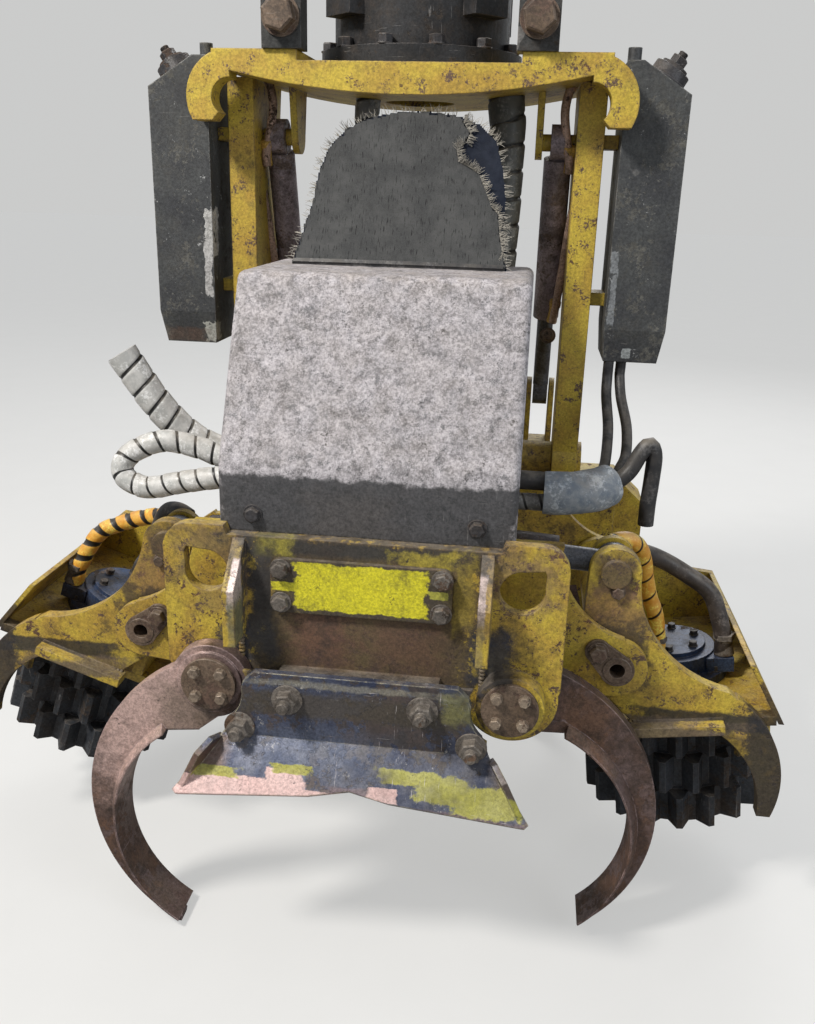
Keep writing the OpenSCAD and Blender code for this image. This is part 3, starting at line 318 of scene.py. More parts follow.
@dataclass(frozen=True)
class Finish(Coating):
    """Paint or bare metal with wear, grime, dust, worn edges and local patches."""

    colour: Colour
    second: Colour
    under: Colour
    under_second: Colour
    wear: float = 0.4
    wear_scale: float = 9.0
    grime: Colour = (0.035, 0.026, 0.020)
    grime_level: float = 0.35
    dust: Colour = (0.34, 0.29, 0.23)
    dust_level: float = 0.35
    edge_colour: Colour = (0.10, 0.055, 0.035)
    edge_level: float = 0.7
    edge_radius: float = 0.003
    rough: float = 0.5
    under_rough: float = 0.85
    metal: float = 0.0
    scratch: float = 0.0
    scratch_colour: Colour = (0.45, 0.43, 0.41)
    bump: float = 0.5
    grain: float = 0.28
    speck: float = 0.0
    specular: float = 0.5
    speck_colour: Colour = (0.10, 0.058, 0.040)
    patches: tuple[Patch, ...] = ()

    def surface(self, g: Graph) -> dict[str, object]:
        """Lay paint, bare spots, patches, worn edges, grime, scratches and dust over each other."""
        place = g.spot()
        wear = WEAR.mask(g, place, Scale=self.wear_scale, Level=self.wear)
        edge = EDGE.place(g, place, Radius=self.edge_radius)
        fine = g.noise(place, 380.0, 4.0, 0.7)
        colour = g.mix(g.span(g.noise(place, 14.0, 5.0, 0.65), 0.35, 0.65), self.colour, self.second)
        under = g.mix(g.span(g.noise(place, 33.0, 6.0, 0.7), 0.36, 0.64), self.under, self.under_second)
        if self.speck:
            dots = WEAR.mask(g, place, Scale=58.0, Level=self.speck, Soft=0.02)
            colour = g.mix(dots, colour, self.speck_colour)
        colour = g.mix(wear, colour, under)
        rough = g.blend(wear, self.rough, self.under_rough)
        metal = g.blend(wear, self.metal, self.metal * 0.3)
        for patch in self.patches:
            mask = PATCH.mask(g, place, Centre=head(*patch.centre), Half=Vector(patch.half) * MM,
                              Soft=patch.soft, Ragged=patch.ragged)
            mask = g.times(mask, patch.strength)
            shade = g.mix(g.span(fine, 0.3, 0.7), shaded(patch.colour, 0.82), patch.colour)
            colour = g.mix(mask, colour, shade)
            rough = g.blend(mask, rough, patch.rough)
            metal = g.blend(mask, metal, patch.metal)
        colour = g.mix(g.times(edge.outputs["Mask"], self.edge_level), colour, self.edge_colour)
        smear = WEAR.mask(g, place, Scale=self.wear_scale * 0.55 + 1.3, Level=self.grime_level, Soft=0.10)
        drops = WEAR.mask(g, place, Scale=62.0, Level=self.grime_level * 0.55, Soft=0.02)
        grime = g.most(g.times(smear, 0.75), drops)
        colour = g.mix(grime, colour, self.grime)
        if self.scratch:
            colour = g.mix(g.times(SCRATCHES.mask(g, place), self.scratch), colour, self.scratch_colour)
        settled = g.times(DUST.mask(g, place), self.dust_level)
        colour = g.mix(settled, colour, self.dust)
        rough = g.blend(g.most(settled, g.times(grime, 0.6)), rough, 0.92)
        share = g.span(g.noise(place, 230.0, 4.0, 0.8), 0.34, 0.66, 1.0 - self.grain, 1.0 + self.grain)
        colour = g.add("VectorMath", {0: colour, "Scale": share}, operation="SCALE").outputs[0]
        height = g.minus(g.times(fine, 0.35), g.times(wear, 0.8))
        height = g.plus(height, g.times(g.noise(place, 90.0, 4.0), 0.5))
        normal = g.bump(self.bump, 1.2, height, Normal=edge.outputs["Normal"])
        return {"Base Color": colour, "Roughness": rough, "Metallic": metal, "Normal": normal,
                "Specular IOR Level": self.specular}


YELLOW: Colour = (0.47, 0.345, 0.04)
YELLOW_DARK: Colour = (0.385, 0.245, 0.036)
LEMON: Colour = (0.65, 0.585, 0.023)
RUST: Colour = (0.135, 0.062, 0.032)
RUST_DARK: Colour = (0.06, 0.034, 0.024)


def yellow_paint(name: str, wear: float, grime: float, patches: tuple[Patch, ...] = ()) -> Finish:
    """Return the yellow paint at one state of wear."""
    return Finish(
        name=name, colour=YELLOW, second=YELLOW_DARK, under=RUST, under_second=RUST_DARK, wear=wear,
        wear_scale=30.0, grime_level=grime, patches=patches, edge_colour=(0.13, 0.085, 0.055),
        edge_level=0.75, scratch=0.25, scratch_colour=(0.16, 0.1, 0.05), dust_level=0.26, grain=0.26,
        speck=0.3,
    )


def dark_metal(name: str, colour: Colour = (0.03, 0.029, 0.031), wear: float = 0.35, dust: float = 0.3,
               rough: float = 0.42, under: Colour = (0.075, 0.05, 0.038)) -> Finish:
    """Return a dark oily or painted metal."""
    return Finish(
        name=name, colour=colour, second=shaded(colour, 1.8), under=under,
        under_second=shaded(under, 0.55), wear=wear, wear_scale=15.0, grime=(0.04, 0.03, 0.023),
        grime_level=0.34, dust=(0.24, 0.2, 0.16), dust_level=dust, edge_colour=(0.19, 0.165, 0.15),
        edge_level=0.5, edge_radius=0.002, rough=rough, under_rough=0.8, metal=0.12, scratch=0.3, grain=0.35,
        specular=0.28,
    )


class Paints:
    """All finishes of the head by name."""

    wall = yellow_paint("wall_paint", 0.3, 0.3, (
        Patch((216, -10, 190), (60, 40, 46), (0.17, 0.105, 0.072), 0.62, 0.5, 3.6, 0.7),
        Patch((-216, -10, 200), (60, 40, 40), (0.16, 0.105, 0.062), 0.66, 0.5, 3.6, 0.7),
        Patch((-205, -10, 120), (40, 40, 20), (0.17, 0.105, 0.072), 0.5, 0.5, 3.6, 0.7),
        Patch((0, 10, 95), (176, 60, 150), (0.082, 0.058, 0.036), 0.93, 0.06, 1.3, 0.8),
        Patch((-60, -10, 80), (44, 40, 50), (0.15, 0.06, 0.045), 0.5, 0.6, 2.4, 0.7),
        Patch((70, -10, 70), (50, 40, 40), (0.13, 0.056, 0.044), 0.45, 0.6, 2.4, 0.7),
        Patch((0, -10, 216), (170, 40, 12), (0.03, 0.03, 0.03), 0.85, 0.5, 1.8, 0.7),
        Patch((-130, -10, 215), (24, 40, 14), (0.4, 0.34, 0.04), 0.7, 0.4, 3.0, 0.7),
        Patch((90, -10, 208), (48, 40, 12), (0.44, 0.35, 0.04), 0.75, 0.4, 3.2, 0.7),
        Patch((150, -10, 160), (14, 40, 50), (0.36, 0.27, 0.04), 0.7, 0.4, 3.2, 0.7),
        Patch((-150, -10, 130), (20, 40, 90), (0.028, 0.03, 0.036), 0.8, 0.4, 2.4, 0.6),
        Patch((192, -10, 62), (30, 40, 46), (0.028, 0.032, 0.048), 0.9, 0.3, 2.2, 0.55),
        Patch((-196, -10, 48), (22, 40, 34), (0.028, 0.03, 0.042), 0.85, 0.3, 2.2, 0.55),
        Patch((172, -44, 176), (10, 20, 34), (0.56, 0.44, 0.41), 0.95, 0.14, 1.0, 0.45, 0.25),
        Patch((-172, -44, 186), (10, 20, 44), (0.56, 0.46, 0.44), 0.95, 0.14, 1.0, 0.45, 0.25),
        Patch((172, -44, 218), (12, 20, 14), (0.03, 0.034, 0.05), 0.9, 0.2, 1.6, 0.5),
        Patch((172, -44, 96), (10, 20, 54), (0.27, 0.21, 0.085), 0.85, 0.3, 1.2, 0.6),
        Patch((-172, -44, 96), (10, 20, 54), (0.17, 0.16, 0.085), 0.85, 0.3, 1.2, 0.6),
        Patch((0, -36, -20), (200, 30, 60), (0.05, 0.042, 0.038), 0.85, 0.3, 1.2, 0.8),
    ))
    cover = yellow_paint("cover_paint", 0.6, 0.3, (
        Patch((0, -8, 158), (146, 20, 48), (0.062, 0.05, 0.034), 0.92, 0.1, 0.9, 0.75),
        Patch((0, -8, 160), (96, 20, 37), LEMON, 1.0, 0.03, 0.55, 0.42),
        Patch((-113, -8, 157), (20, 20, 7), LEMON, 0.9, 0.1, 1.6, 0.45),
        Patch((113, -8, 160), (14, 20, 6), (0.42, 0.4, 0.06), 0.9, 0.1, 1.6, 0.45),
    ))
    frame = yellow_paint("frame_paint", 0.17, 0.2)
    beam = yellow_paint("beam_paint", 0.26, 0.34)
    arm = yellow_paint("arm_paint", 0.26, 0.28, tuple(
        Patch(arm_spot(side, x, y, z), half, colour, strength, soft, ragged, 0.5, metal)
        for side in SIDES
        for (x, y, z), half, colour, strength, soft, ragged, metal in (
            ((268, 125, -150), (52, 60, 118), (0.052, 0.044, 0.038), 0.95, 0.12, 1.3, 0.4),
            ((150, 135, -88), (108, 8, 15), (0.026, 0.026, 0.03), 0.92, 0.2, 1.2, 0.2),
            ((110, 112, -104), (92, 30, 14), (0.15, 0.115, 0.09), 0.85, 0.3, 1.8, 0.3),
            ((-14, 130, 150), (30, 30, 34), (0.075, 0.052, 0.04), 0.85, 0.4, 2.0, 0.0),
            ((-8, 130, 86), (54, 30, 40), (0.21, 0.115, 0.062), 0.7, 0.6, 2.6, 0.0),
            ((0, 130, 18), (48, 30, 52), (0.032, 0.028, 0.027), 0.8, 0.3, 2.6, 0.0),
            ((150, 240, -20), (90, 70, 120), (0.4, 0.235, 0.03), 0.45, 0.6, 2.0, 0.0),
        )))
    saw = yellow_paint("saw_box_paint", 0.25, 0.32)
    hood = Finish(
        name="hood_paint", colour=(0.13, 0.128, 0.136), second=(0.175, 0.17, 0.178),
        under=(0.415, 0.388, 0.405), under_second=(0.3, 0.282, 0.292), wear=0.72, wear_scale=120.0,
        grime=(0.05, 0.047, 0.048), grime_level=0.34, dust=(0.33, 0.29, 0.265), dust_level=0.55,
        edge_colour=(0.34, 0.31, 0.29), edge_level=0.75, edge_radius=0.004, rough=0.55, under_rough=0.85,
        scratch=0.35, scratch_colour=(0.36, 0.34, 0.33), bump=0.45, grain=0.34,
        patches=(Patch((0, 10, 268), (226, 25, 47), (0.028, 0.029, 0.031), 0.9, 0.07, 0.7, 0.55),
                 Patch((-20, 10, 262), (60, 25, 30), (0.1, 0.085, 0.075), 0.35, 0.6, 2.6, 0.7)),
    )
    fixed = Finish(
        name="fixed_knife_steel", colour=(0.034, 0.043, 0.082), second=(0.078, 0.088, 0.132),
        under=(0.075, 0.055, 0.05), under_second=(0.045, 0.04, 0.042), wear=0.42, wear_scale=9.0,
        grime=(0.034, 0.028, 0.024), grime_level=0.24, dust=(0.45, 0.43, 0.42), dust_level=0.16,
        edge_colour=(0.4, 0.36, 0.24), edge_level=0.75, rough=0.33, under_rough=0.6, metal=0.45,
        scratch=0.8, scratch_colour=(0.5, 0.46, 0.46), bump=0.4, speck=0.2,
        speck_colour=(0.42, 0.4, 0.38),
        patches=(
            Patch((-20, -50, -12), (190, 20, 20), (0.062, 0.05, 0.036), 0.85, 0.4, 1.8, 0.75),
            Patch((-20, -50, 22), (170, 20, 5), (0.3, 0.28, 0.22), 0.55, 0.5, 3.0, 0.8),
            # painted highlight: a pale blue-grey sheen laid on the middle of the fixed knife
            Patch((-60, -70, -78), (90, 40, 26), (0.12, 0.14, 0.2), 0.55, 0.7, 1.4, 0.3, 0.4),
            Patch((-222, -70, -94), (32, 60, 20), (0.15, 0.085, 0.055), 0.85, 0.35, 1.2, 0.45, 0.2),
            Patch((240, -70, -84), (34, 60, 24), (0.105, 0.072, 0.048), 0.8, 0.35, 1.4, 0.5, 0.2),
            Patch((110, -100, -143), (96, 60, 10), (0.15, 0.098, 0.108), 0.9, 0.25, 1.0, 0.35, 0.4),
            Patch((215, -100, -152), (70, 60, 14), (0.15, 0.098, 0.108), 0.9, 0.25, 1.0, 0.35, 0.4),
            Patch((14, -100, -128), (50, 60, 10), (0.15, 0.098, 0.108), 0.85, 0.25, 1.2, 0.35, 0.4),
            *(Patch((x, -90, z), (half, 60, high), (0.6, 0.4, 0.37), 0.96, 0.06, 0.8, 0.36, 0.2)
              for x, z, half, high in ((-168, -135, 96, 20), (-98, -118, 28, 14), (-238, -124, 24, 14),
                                       (-44, -134, 34, 9), (50, -122, 22, 8))),
            *(Patch((x, -90, z), (half, 60, high), (0.36, 0.34, 0.055), 0.94, 0.12, 1.9, 0.75)
              for x, z, half, high in ((88, -101, 40, 8), (138, -111, 44, 14), (198, -119, 48, 16),
                                       (240, -118, 20, 9), (-88, -104, 28, 5), (-200, -113, 34, 6))),
            Patch((152, -50, 2), (20, 20, 22), (0.22, 0.21, 0.06), 0.6, 0.5, 3.2, 0.7),
        ),
    )
    knife = Finish(
        name="knife_steel", colour=(0.105, 0.064, 0.05), second=(0.17, 0.118, 0.112),
        under=(0.07, 0.04, 0.03), under_second=(0.125, 0.066, 0.042), wear=0.46, wear_scale=13.0,
        grime_level=0.28, dust_level=0.15, edge_colour=(0.4, 0.29, 0.28), edge_level=0.85, rough=0.34,
        under_rough=0.6, metal=0.45, scratch=0.35, scratch_colour=(0.34, 0.26, 0.26), bump=0.35, grain=0.3,
        # painted sunlight: the first patch, pale pink, lightens the left knife's face where the sun falls on
        # it
        patches=(Patch((-330, 0, -70), (90, 120, 130), (0.62, 0.43, 0.38), 0.85, 0.5, 1.6, 0.34, 0.2),
                 Patch((262, 20, -10), (44, 120, 60), (0.04, 0.036, 0.06), 0.85, 0.4, 1.8, 0.35, 0.3),
                 Patch((335, 20, -90), (40, 120, 80), (0.23, 0.12, 0.07), 0.6, 0.6, 2.4, 0.5, 0.2),
                 Patch((-262, 0, -56), (44, 120, 40), (0.11, 0.09, 0.055), 0.6, 0.6, 2.2, 0.6, 0.2)),
    )
    dark = dark_metal("oily_steel")
    # dark motor paint whose blue tint is a painted reflection of the sky
    motor = dark_metal("motor_paint_sky_reflection", (0.02, 0.034, 0.07), 0.24, 0.16, 0.36)
    cylinder = dark_metal("cylinder_paint", (0.04, 0.036, 0.042), 0.38, 0.3, 0.36)
    # brown-purple paint made much lighter than its own tone: painted light on the tilt cylinders behind the
    # hood
    barrel = dark_metal("barrel_paint_with_painted_light", (0.2, 0.165, 0.18), 0.3, 0.3, 0.4, (0.26, 0.2, 0.18))
    rotator = dark_metal("rotator_paint", (0.015, 0.015, 0.016), 0.26, 0.2, 0.5, (0.05, 0.04, 0.033))
    roller = dark_metal("roller_steel", (0.022, 0.024, 0.028), 0.34, 0.3, 0.45, (0.06, 0.044, 0.034))
    block = dark_metal("stop_block_steel", (0.036, 0.036, 0.035), 0.3, 0.2, 0.42, (0.065, 0.048, 0.038))
    line = dark_metal("brown_line", (0.36, 0.25, 0.2), 0.3, 0.25, 0.4, (0.13, 0.085, 0.065))
    brass = dark_metal("old_brass", (0.46, 0.29, 0.07), 0.26, 0.15, 0.4, (0.18, 0.11, 0.04))
    weld = dark_metal("weld_bead", (0.11, 0.085, 0.055), 0.42, 0.25, 0.6, (0.2, 0.13, 0.035))
    rod = dark_metal("oily_rod", (0.075, 0.08, 0.095), 0.26, 0.15, 0.24, (0.04, 0.036, 0.034))
    pins = Finish(
        name="pin_steel", colour=(0.105, 0.07, 0.045), second=(0.165, 0.115, 0.08),
        under=(0.075, 0.045, 0.032), under_second=(0.12, 0.072, 0.05), wear=0.42, wear_scale=16.0,
        grime=(0.04, 0.03, 0.024), grime_level=0.3, dust_level=0.2, edge_colour=(0.27, 0.22, 0.18),
        edge_level=0.7, edge_radius=0.002, rough=0.45, under_rough=0.75, metal=0.25, scratch=0.3,
        grain=0.34,
    )
    bolts = dark_metal("bolt_steel", (0.105, 0.092, 0.08), 0.4, 0.35, 0.4, (0.13, 0.08, 0.052))
    screws = Finish(
        name="screw_steel", colour=(0.34, 0.27, 0.2), second=(0.22, 0.165, 0.12),
        under=(0.12, 0.078, 0.052), under_second=(0.18, 0.13, 0.095), wear=0.35, wear_scale=30.0,
        dust_level=0.2, rough=0.42, metal=0.3, edge_radius=0.001, grain=0.25,
    )
    tank = Finish(
        name="tank_paint", colour=(0.03, 0.031, 0.034), second=(0.05, 0.052, 0.052),
        under=(0.095, 0.092, 0.082), under_second=(0.06, 0.058, 0.052), wear=0.36, wear_scale=20.0,
        grime=(0.045, 0.042, 0.036), grime_level=0.3, dust=(0.26, 0.25, 0.22), dust_level=0.5,
        edge_colour=(0.24, 0.23, 0.215), edge_level=0.8, edge_radius=0.003, rough=0.5, under_rough=0.85,
        scratch=0.5, scratch_colour=(0.22, 0.21, 0.2), bump=0.3, grain=0.36, speck=0.14,
        speck_colour=(0.3, 0.3, 0.3),
        patches=(Patch((-349, 420, 632), (8, 30, 40), (0.46, 0.45, 0.43), 0.9, 0.03, 2.6, 0.6),
                 Patch((-353, 420, 570), (7, 30, 48), (0.4, 0.39, 0.38), 0.9, 0.03, 2.2, 0.6),
                 Patch((-352, 424, 455), (14, 30, 18), (0.42, 0.42, 0.38), 0.9, 0.03, 2.6, 0.6),
                 Patch((-400, 424, 448), (36, 30, 12), (0.1, 0.055, 0.035), 0.6, 0.4, 2.0, 0.8),
                 Patch((351, 420, 600), (6, 30, 16), (0.2, 0.21, 0.22), 0.8, 0.1, 2.4, 0.6),
                 Patch((352, 420, 540), (5, 30, 40), (0.2, 0.21, 0.22), 0.8, 0.1, 2.4, 0.6),
                 Patch((384, 424, 450), (7, 30, 9), (0.3, 0.32, 0.32), 0.9, 0.1, 1.4, 0.6)),
    )
    bar = Finish(
        name="bar_steel", colour=(0.2, 0.19, 0.19), second=(0.28, 0.26, 0.25), under=(0.09, 0.062, 0.048),
        under_second=(0.15, 0.11, 0.09), wear=0.4, grime_level=0.3, dust_level=0.2,
        edge_colour=(0.45, 0.43, 0.42), edge_radius=0.0015, rough=0.34, under_rough=0.6, metal=0.8,
        scratch=0.8, bump=0.25,
    )


# --------------------------------------------------------------------------- modelling calls


class Bench:
    """Modelling calls that every sub-assembly uses."""

    @staticmethod
    def clear() -> None:
        """Leave edit mode and deselect everything."""
        if bpy.context.object and bpy.context.object.mode != "OBJECT":
            bpy.ops.object.mode_set(mode="OBJECT")
        bpy.ops.object.select_all(action="DESELECT")

    @staticmethod
    def pick(piece: bpy.types.Object) -> None:
        """Make the piece the only one that operators act on."""
        Bench.clear()
        piece.select_set(True)
        bpy.context.view_layer.objects.active = piece

    @staticmethod
    def add(kind: str, **settings) -> bpy.types.Object:
        """Add a mesh primitive of that kind and return it."""
        Bench.clear()
        getattr(bpy.ops.mesh, f"primitive_{kind}_add")(**settings)
        return bpy.context.object

    @staticmethod
    def link(name: str, data: bpy.types.ID) -> bpy.types.Object:
        """Return a new object with this mesh, lamp or camera, linked to the scene."""
        piece = bpy.data.objects.new(name, data)
        bpy.context.scene.collection.objects.link(piece)
        return piece

    @staticmethod
    def rod(radius: float, low: float, high: float, vertices: int) -> bpy.types.Object:
        """Return a cylinder along Z between two heights, in millimetres."""
        return Bench.add("cylinder", vertices=vertices, radius=radius * MM, depth=(high - low) * MM,
                         location=(0, 0, (low + high) / 2 * MM))

    @staticmethod
    def edit(piece: bpy.types.Object, wanted: Callable[[object], bool] = lambda item: True,
             mode: str = "FACE") -> None:
        """Enter edit mode with the faces, edges or vertices selected that a test accepts."""
        Bench.pick(piece)
        bpy.ops.object.mode_set(mode="EDIT")
        bpy.ops.mesh.select_mode(type="VERT")
        bpy.ops.mesh.select_all(action="DESELECT")
        bpy.ops.mesh.select_mode(type=mode)
        shape = bmesh.from_edit_mesh(piece.data)
        for item in {"FACE": shape.faces, "EDGE": shape.edges, "VERT": shape.verts}[mode]:
            item.select_set(bool(wanted(item)))
        shape.select_flush_mode()
        bmesh.update_edit_mesh(piece.data)

    @staticmethod
    def cut(piece: bpy.types.Object, point: Sequence[float], across: Sequence[float]) -> None:
        """Cut all faces by a plane, and leave the new edges selected in edit mode."""
        Bench.edit(piece)
        bpy.ops.mesh.bisect(plane_co=point, plane_no=across)

    @staticmethod
    def done(piece: bpy.types.Object, smooth: float = 35.0) -> bpy.types.Object:
        """Apply the place, smooth by angle and return the piece."""
        Bench.pick(piece)
        bpy.ops.object.transform_apply(location=True, rotation=True, scale=True)
        bpy.ops.object.shade_smooth_by_angle(angle=math.radians(smooth))
        return piece

    @staticmethod
    def modify(piece: bpy.types.Object, kind: str, **settings) -> None:
        """Add a modifier with these settings and apply it."""
        Bench.pick(piece)
        modifier = piece.modifiers.new(kind.lower(), kind)
        for name, value in settings.items():
            setattr(modifier, name, value)
        bpy.ops.object.modifier_apply(modifier=modifier.name)

    @staticmethod
    def outward(piece: bpy.types.Object) -> None:
        """Merge doubles and turn all faces outwards."""
        Bench.edit(piece)
        bpy.ops.mesh.remove_doubles(threshold=1e-6)
        bpy.ops.mesh.select_all(action="SELECT")
        bpy.ops.mesh.normals_make_consistent(inside=False)
        Bench.clear()

    @staticmethod
    def join(pieces: Sequence[bpy.types.Object], name: str) -> bpy.types.Object:
        """Join pieces into one object of that name."""
        Bench.clear()
        for piece in pieces:
            piece.select_set(True)
        bpy.context.view_layer.objects.active = pieces[0]
        bpy.ops.object.join()
        pieces[0].name = pieces[0].data.name = name
        return pieces[0]

    @staticmethod
    def stamp(name: str, master: bpy.types.Object, frames: Sequence[Matrix]) -> bpy.types.Object:
        """Copy a master to each place and join the copies.

        Args:
            name: The new piece's name.
            master: The piece that is copied and then removed.
            frames: Where each copy goes.

        Returns:
            The joined piece.
        """
        Bench.clear()
        copies = [Bench.link(name, master.data.copy()) for _ in frames]
        for copy, place in zip(copies, frames):
            copy.data.transform(place)
        bpy.data.objects.remove(master)
        return Bench.join(copies, name)

    @staticmethod
    def dress(piece: bpy.types.Object, coating: Coating, body: str,
              slot: str = "dark_steel") -> bpy.types.Object:
        """Give a piece its material and body."""
        piece.data.materials.clear()
        piece.data.materials.append(coating.build())
        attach(piece, body)
        log.info("%s on %s: %d faces", piece.name, body, len(piece.data.polygons))
        return piece


def aim(point: Vector, direction: Vector, spin: float = 0.0) -> Matrix:
    """Return a place at a point with +Z along a direction, spun about it by spin degrees."""
    turn = direction.normalized().to_track_quat("Z", "Y").to_matrix().to_4x4()
    return Matrix.Translation(point) @ turn @ Matrix.Rotation(math.radians(spin), 4, "Z")


@dataclass
class Fastener:
    """A hexagon bolt or a nut on its stud, drawn upwards from its seat."""

    across: float = 24.0
    height: float = 13.0
    washer: float = 1.15  # its radius as a share of the hexagon's
    stud: float = 0.0
    thread_turns: int = 5
    base_share: float = 0.18  # the washer's thickness as a share of the height
    chamfer: float = 0.12  # the crown's inset as a share of the radius
    crown: float = 0.10  # and its rise

    def model(self) -> bpy.types.Object:
        """Return the fastener's mesh at the origin."""
        radius = self.across / math.sqrt(3)
        base = self.base_share * self.height
        hexagon = Bench.rod(radius, base, base + self.height, 6)
        Bench.edit(hexagon, lambda f: f.normal.z > 0.9)
        bpy.ops.mesh.inset(thickness=self.chamfer * radius * MM)
        bpy.ops.transform.translate(value=(0, 0, self.crown * radius * MM))
        parts = [hexagon, Bench.rod(radius * self.washer, 0.0, base, 28)]
        if self.stud:
            pitch = self.stud / self.thread_turns
            start = base + self.height + 0.08 * radius
            for turn in range(self.thread_turns):
                middle = start + pitch * (turn + 0.5)
                parts.append(Bench.add("cone", vertices=18, radius1=0.56 * radius * MM, depth=pitch * MM,
                                       radius2=0.48 * radius * MM, location=(0, 0, middle * MM)))
        return Bench.done(Bench.join(parts, "fastener"), 30)

    def put(self, name: str, frames: Sequence[Matrix], body: str, finish: Finish = Paints.bolts) -> None:
        """Place copies of the fastener on a body."""
        Bench.dress(Bench.stamp(name, self.model(), frames), finish, body)


class Arm:
    """The axes of one roller arm, and of the roller on it."""

    def __init__(self, side: int) -> None:
        """Take the side, -1 for left and 1 for right."""
        self.side = side
        self.name = SIDES[side]
        self.body = f"roller_arm_{self.name}"

    def point(self, x: float, y: float, z: float) -> Vector:
        """Return the row-frame point of the arm's own millimetres."""
        return head(*arm_spot(self.side, x, y, z))

    def roller(self, x: float, y: float, z: float) -> Vector:
        """Return the row-frame point of the roller's own millimetres."""
        cos, sin = math.cos(ROLLER_LEAN), math.sin(ROLLER_LEAN)
        return self.point(ROLLER_ORIGIN[0] + x * cos - z * sin, ROLLER_ORIGIN[1] + y,
                          ROLLER_ORIGIN[2] + x * sin + z * cos)

    def ring(self, count: int, radius: float, z: float, start: float = 0.0) -> list[Matrix]:
        """Return places round the roller's axis that face up along it."""
        axis = (self.roller(0, 0, 100) - self.roller(0, 0, 0)).normalized()
        return [aim(self.roller(x, y, z), axis, turn) for x, y, turn in circle(count, radius, start)]


# --------------------------------------------------------------------------- hoses


class Cover(Enum):
    """What lies round a hose."""

    PLAIN = "plain"
    SPIRAL = "spiral"
    SLEEVE = "sleeve"
    GUARD = "guard"


@dataclass(frozen=True)
class HoseFinish(Coating):
    """Rubber, spiral wrap, woven sleeve or coloured guard, on the hose's own UV map."""

    colour: Colour
    second: Colour
    gap: Colour = (0.006, 0.006, 0.006)
    gap_width: float = 0.0
    rough: float = 0.5
    weave: float = 0.0
    dust: float = 0.4

    def surface(self, g: Graph) -> dict[str, object]:
        """Lay blotches, scuffs, the wrap's gaps, the weave and dust over each other."""
        place = g.spot()
        blotch = g.span(g.noise(place, 60.0, 6.0, 0.7), 0.38, 0.62)
        colour = g.mix(blotch, self.colour, self.second)
        scuff = WEAR.mask(g, place, Scale=48.0, Level=0.34, Soft=0.05)
        colour = g.mix(g.times(scuff, 0.6), colour, shaded(self.second, 2.2, 0.05))
        height = g.times(g.noise(place, 420.0, 3.0), 0.4)
        if self.gap_width:
            phase = g.add("Attribute", attribute_name="wrap").outputs["Fac"]
            covered = g.span(phase, self.gap_width - 0.05, self.gap_width + 0.05)
            colour = g.mix(covered, self.gap, colour)
        if self.weave:
            cells = g.mapped(g.spot("UV"), Scale=(34.0, 330.0, 1.0))
            check = g.add("TexWave", {"Vector": cells, "Scale": 1.0, "Distortion": 1.2, "Detail": 2.0})
            height = g.plus(height, g.times(check.outputs["Fac"], self.weave))
        colour = g.mix(g.times(DUST.mask(g, place), self.dust), colour, (0.30, 0.26, 0.21))
        return {"Base Color": colour, "Roughness": g.blend(blotch, self.rough, self.rough + 0.2),
                "Normal": g.bump(0.4, 0.8, height)}


RUBBER = HoseFinish("black_rubber", (0.016, 0.016, 0.018), (0.034, 0.031, 0.030), rough=0.42)
BROWN_RUBBER = HoseFinish("oily_rubber", (0.024, 0.019, 0.017), (0.046, 0.036, 0.031), rough=0.36)
WRAP = HoseFinish("spiral_wrap", (0.105, 0.107, 0.108), (0.170, 0.166, 0.160), gap_width=0.16, rough=0.42)
# the same dark grey wrap painted lighter: painted sunlight on the left hoses
SUNLIT_WRAP = HoseFinish("wrap_painted_sunlit", (0.40, 0.40, 0.385), (0.55, 0.54, 0.52), gap_width=0.16, rough=0.36)
# the same wrap painted darker: painted shade on the rising hose
SHADED_WRAP = HoseFinish("wrap_painted_shade", (0.045, 0.045, 0.040), (0.078, 0.075, 0.064), gap_width=0.16, rough=0.45)
SLEEVE = HoseFinish("woven_sleeve", (0.150, 0.178, 0.215), (0.26, 0.275, 0.290), rough=0.85, weave=1.0)
GUARD = HoseFinish("spiral_guard", (0.62, 0.27, 0.030), (0.72, 0.42, 0.07), (0.008, 0.007, 0.007), 0.36, 0.38)
WIDE_GUARD = replace(GUARD, name="wide_guard", gap_width=0.13)


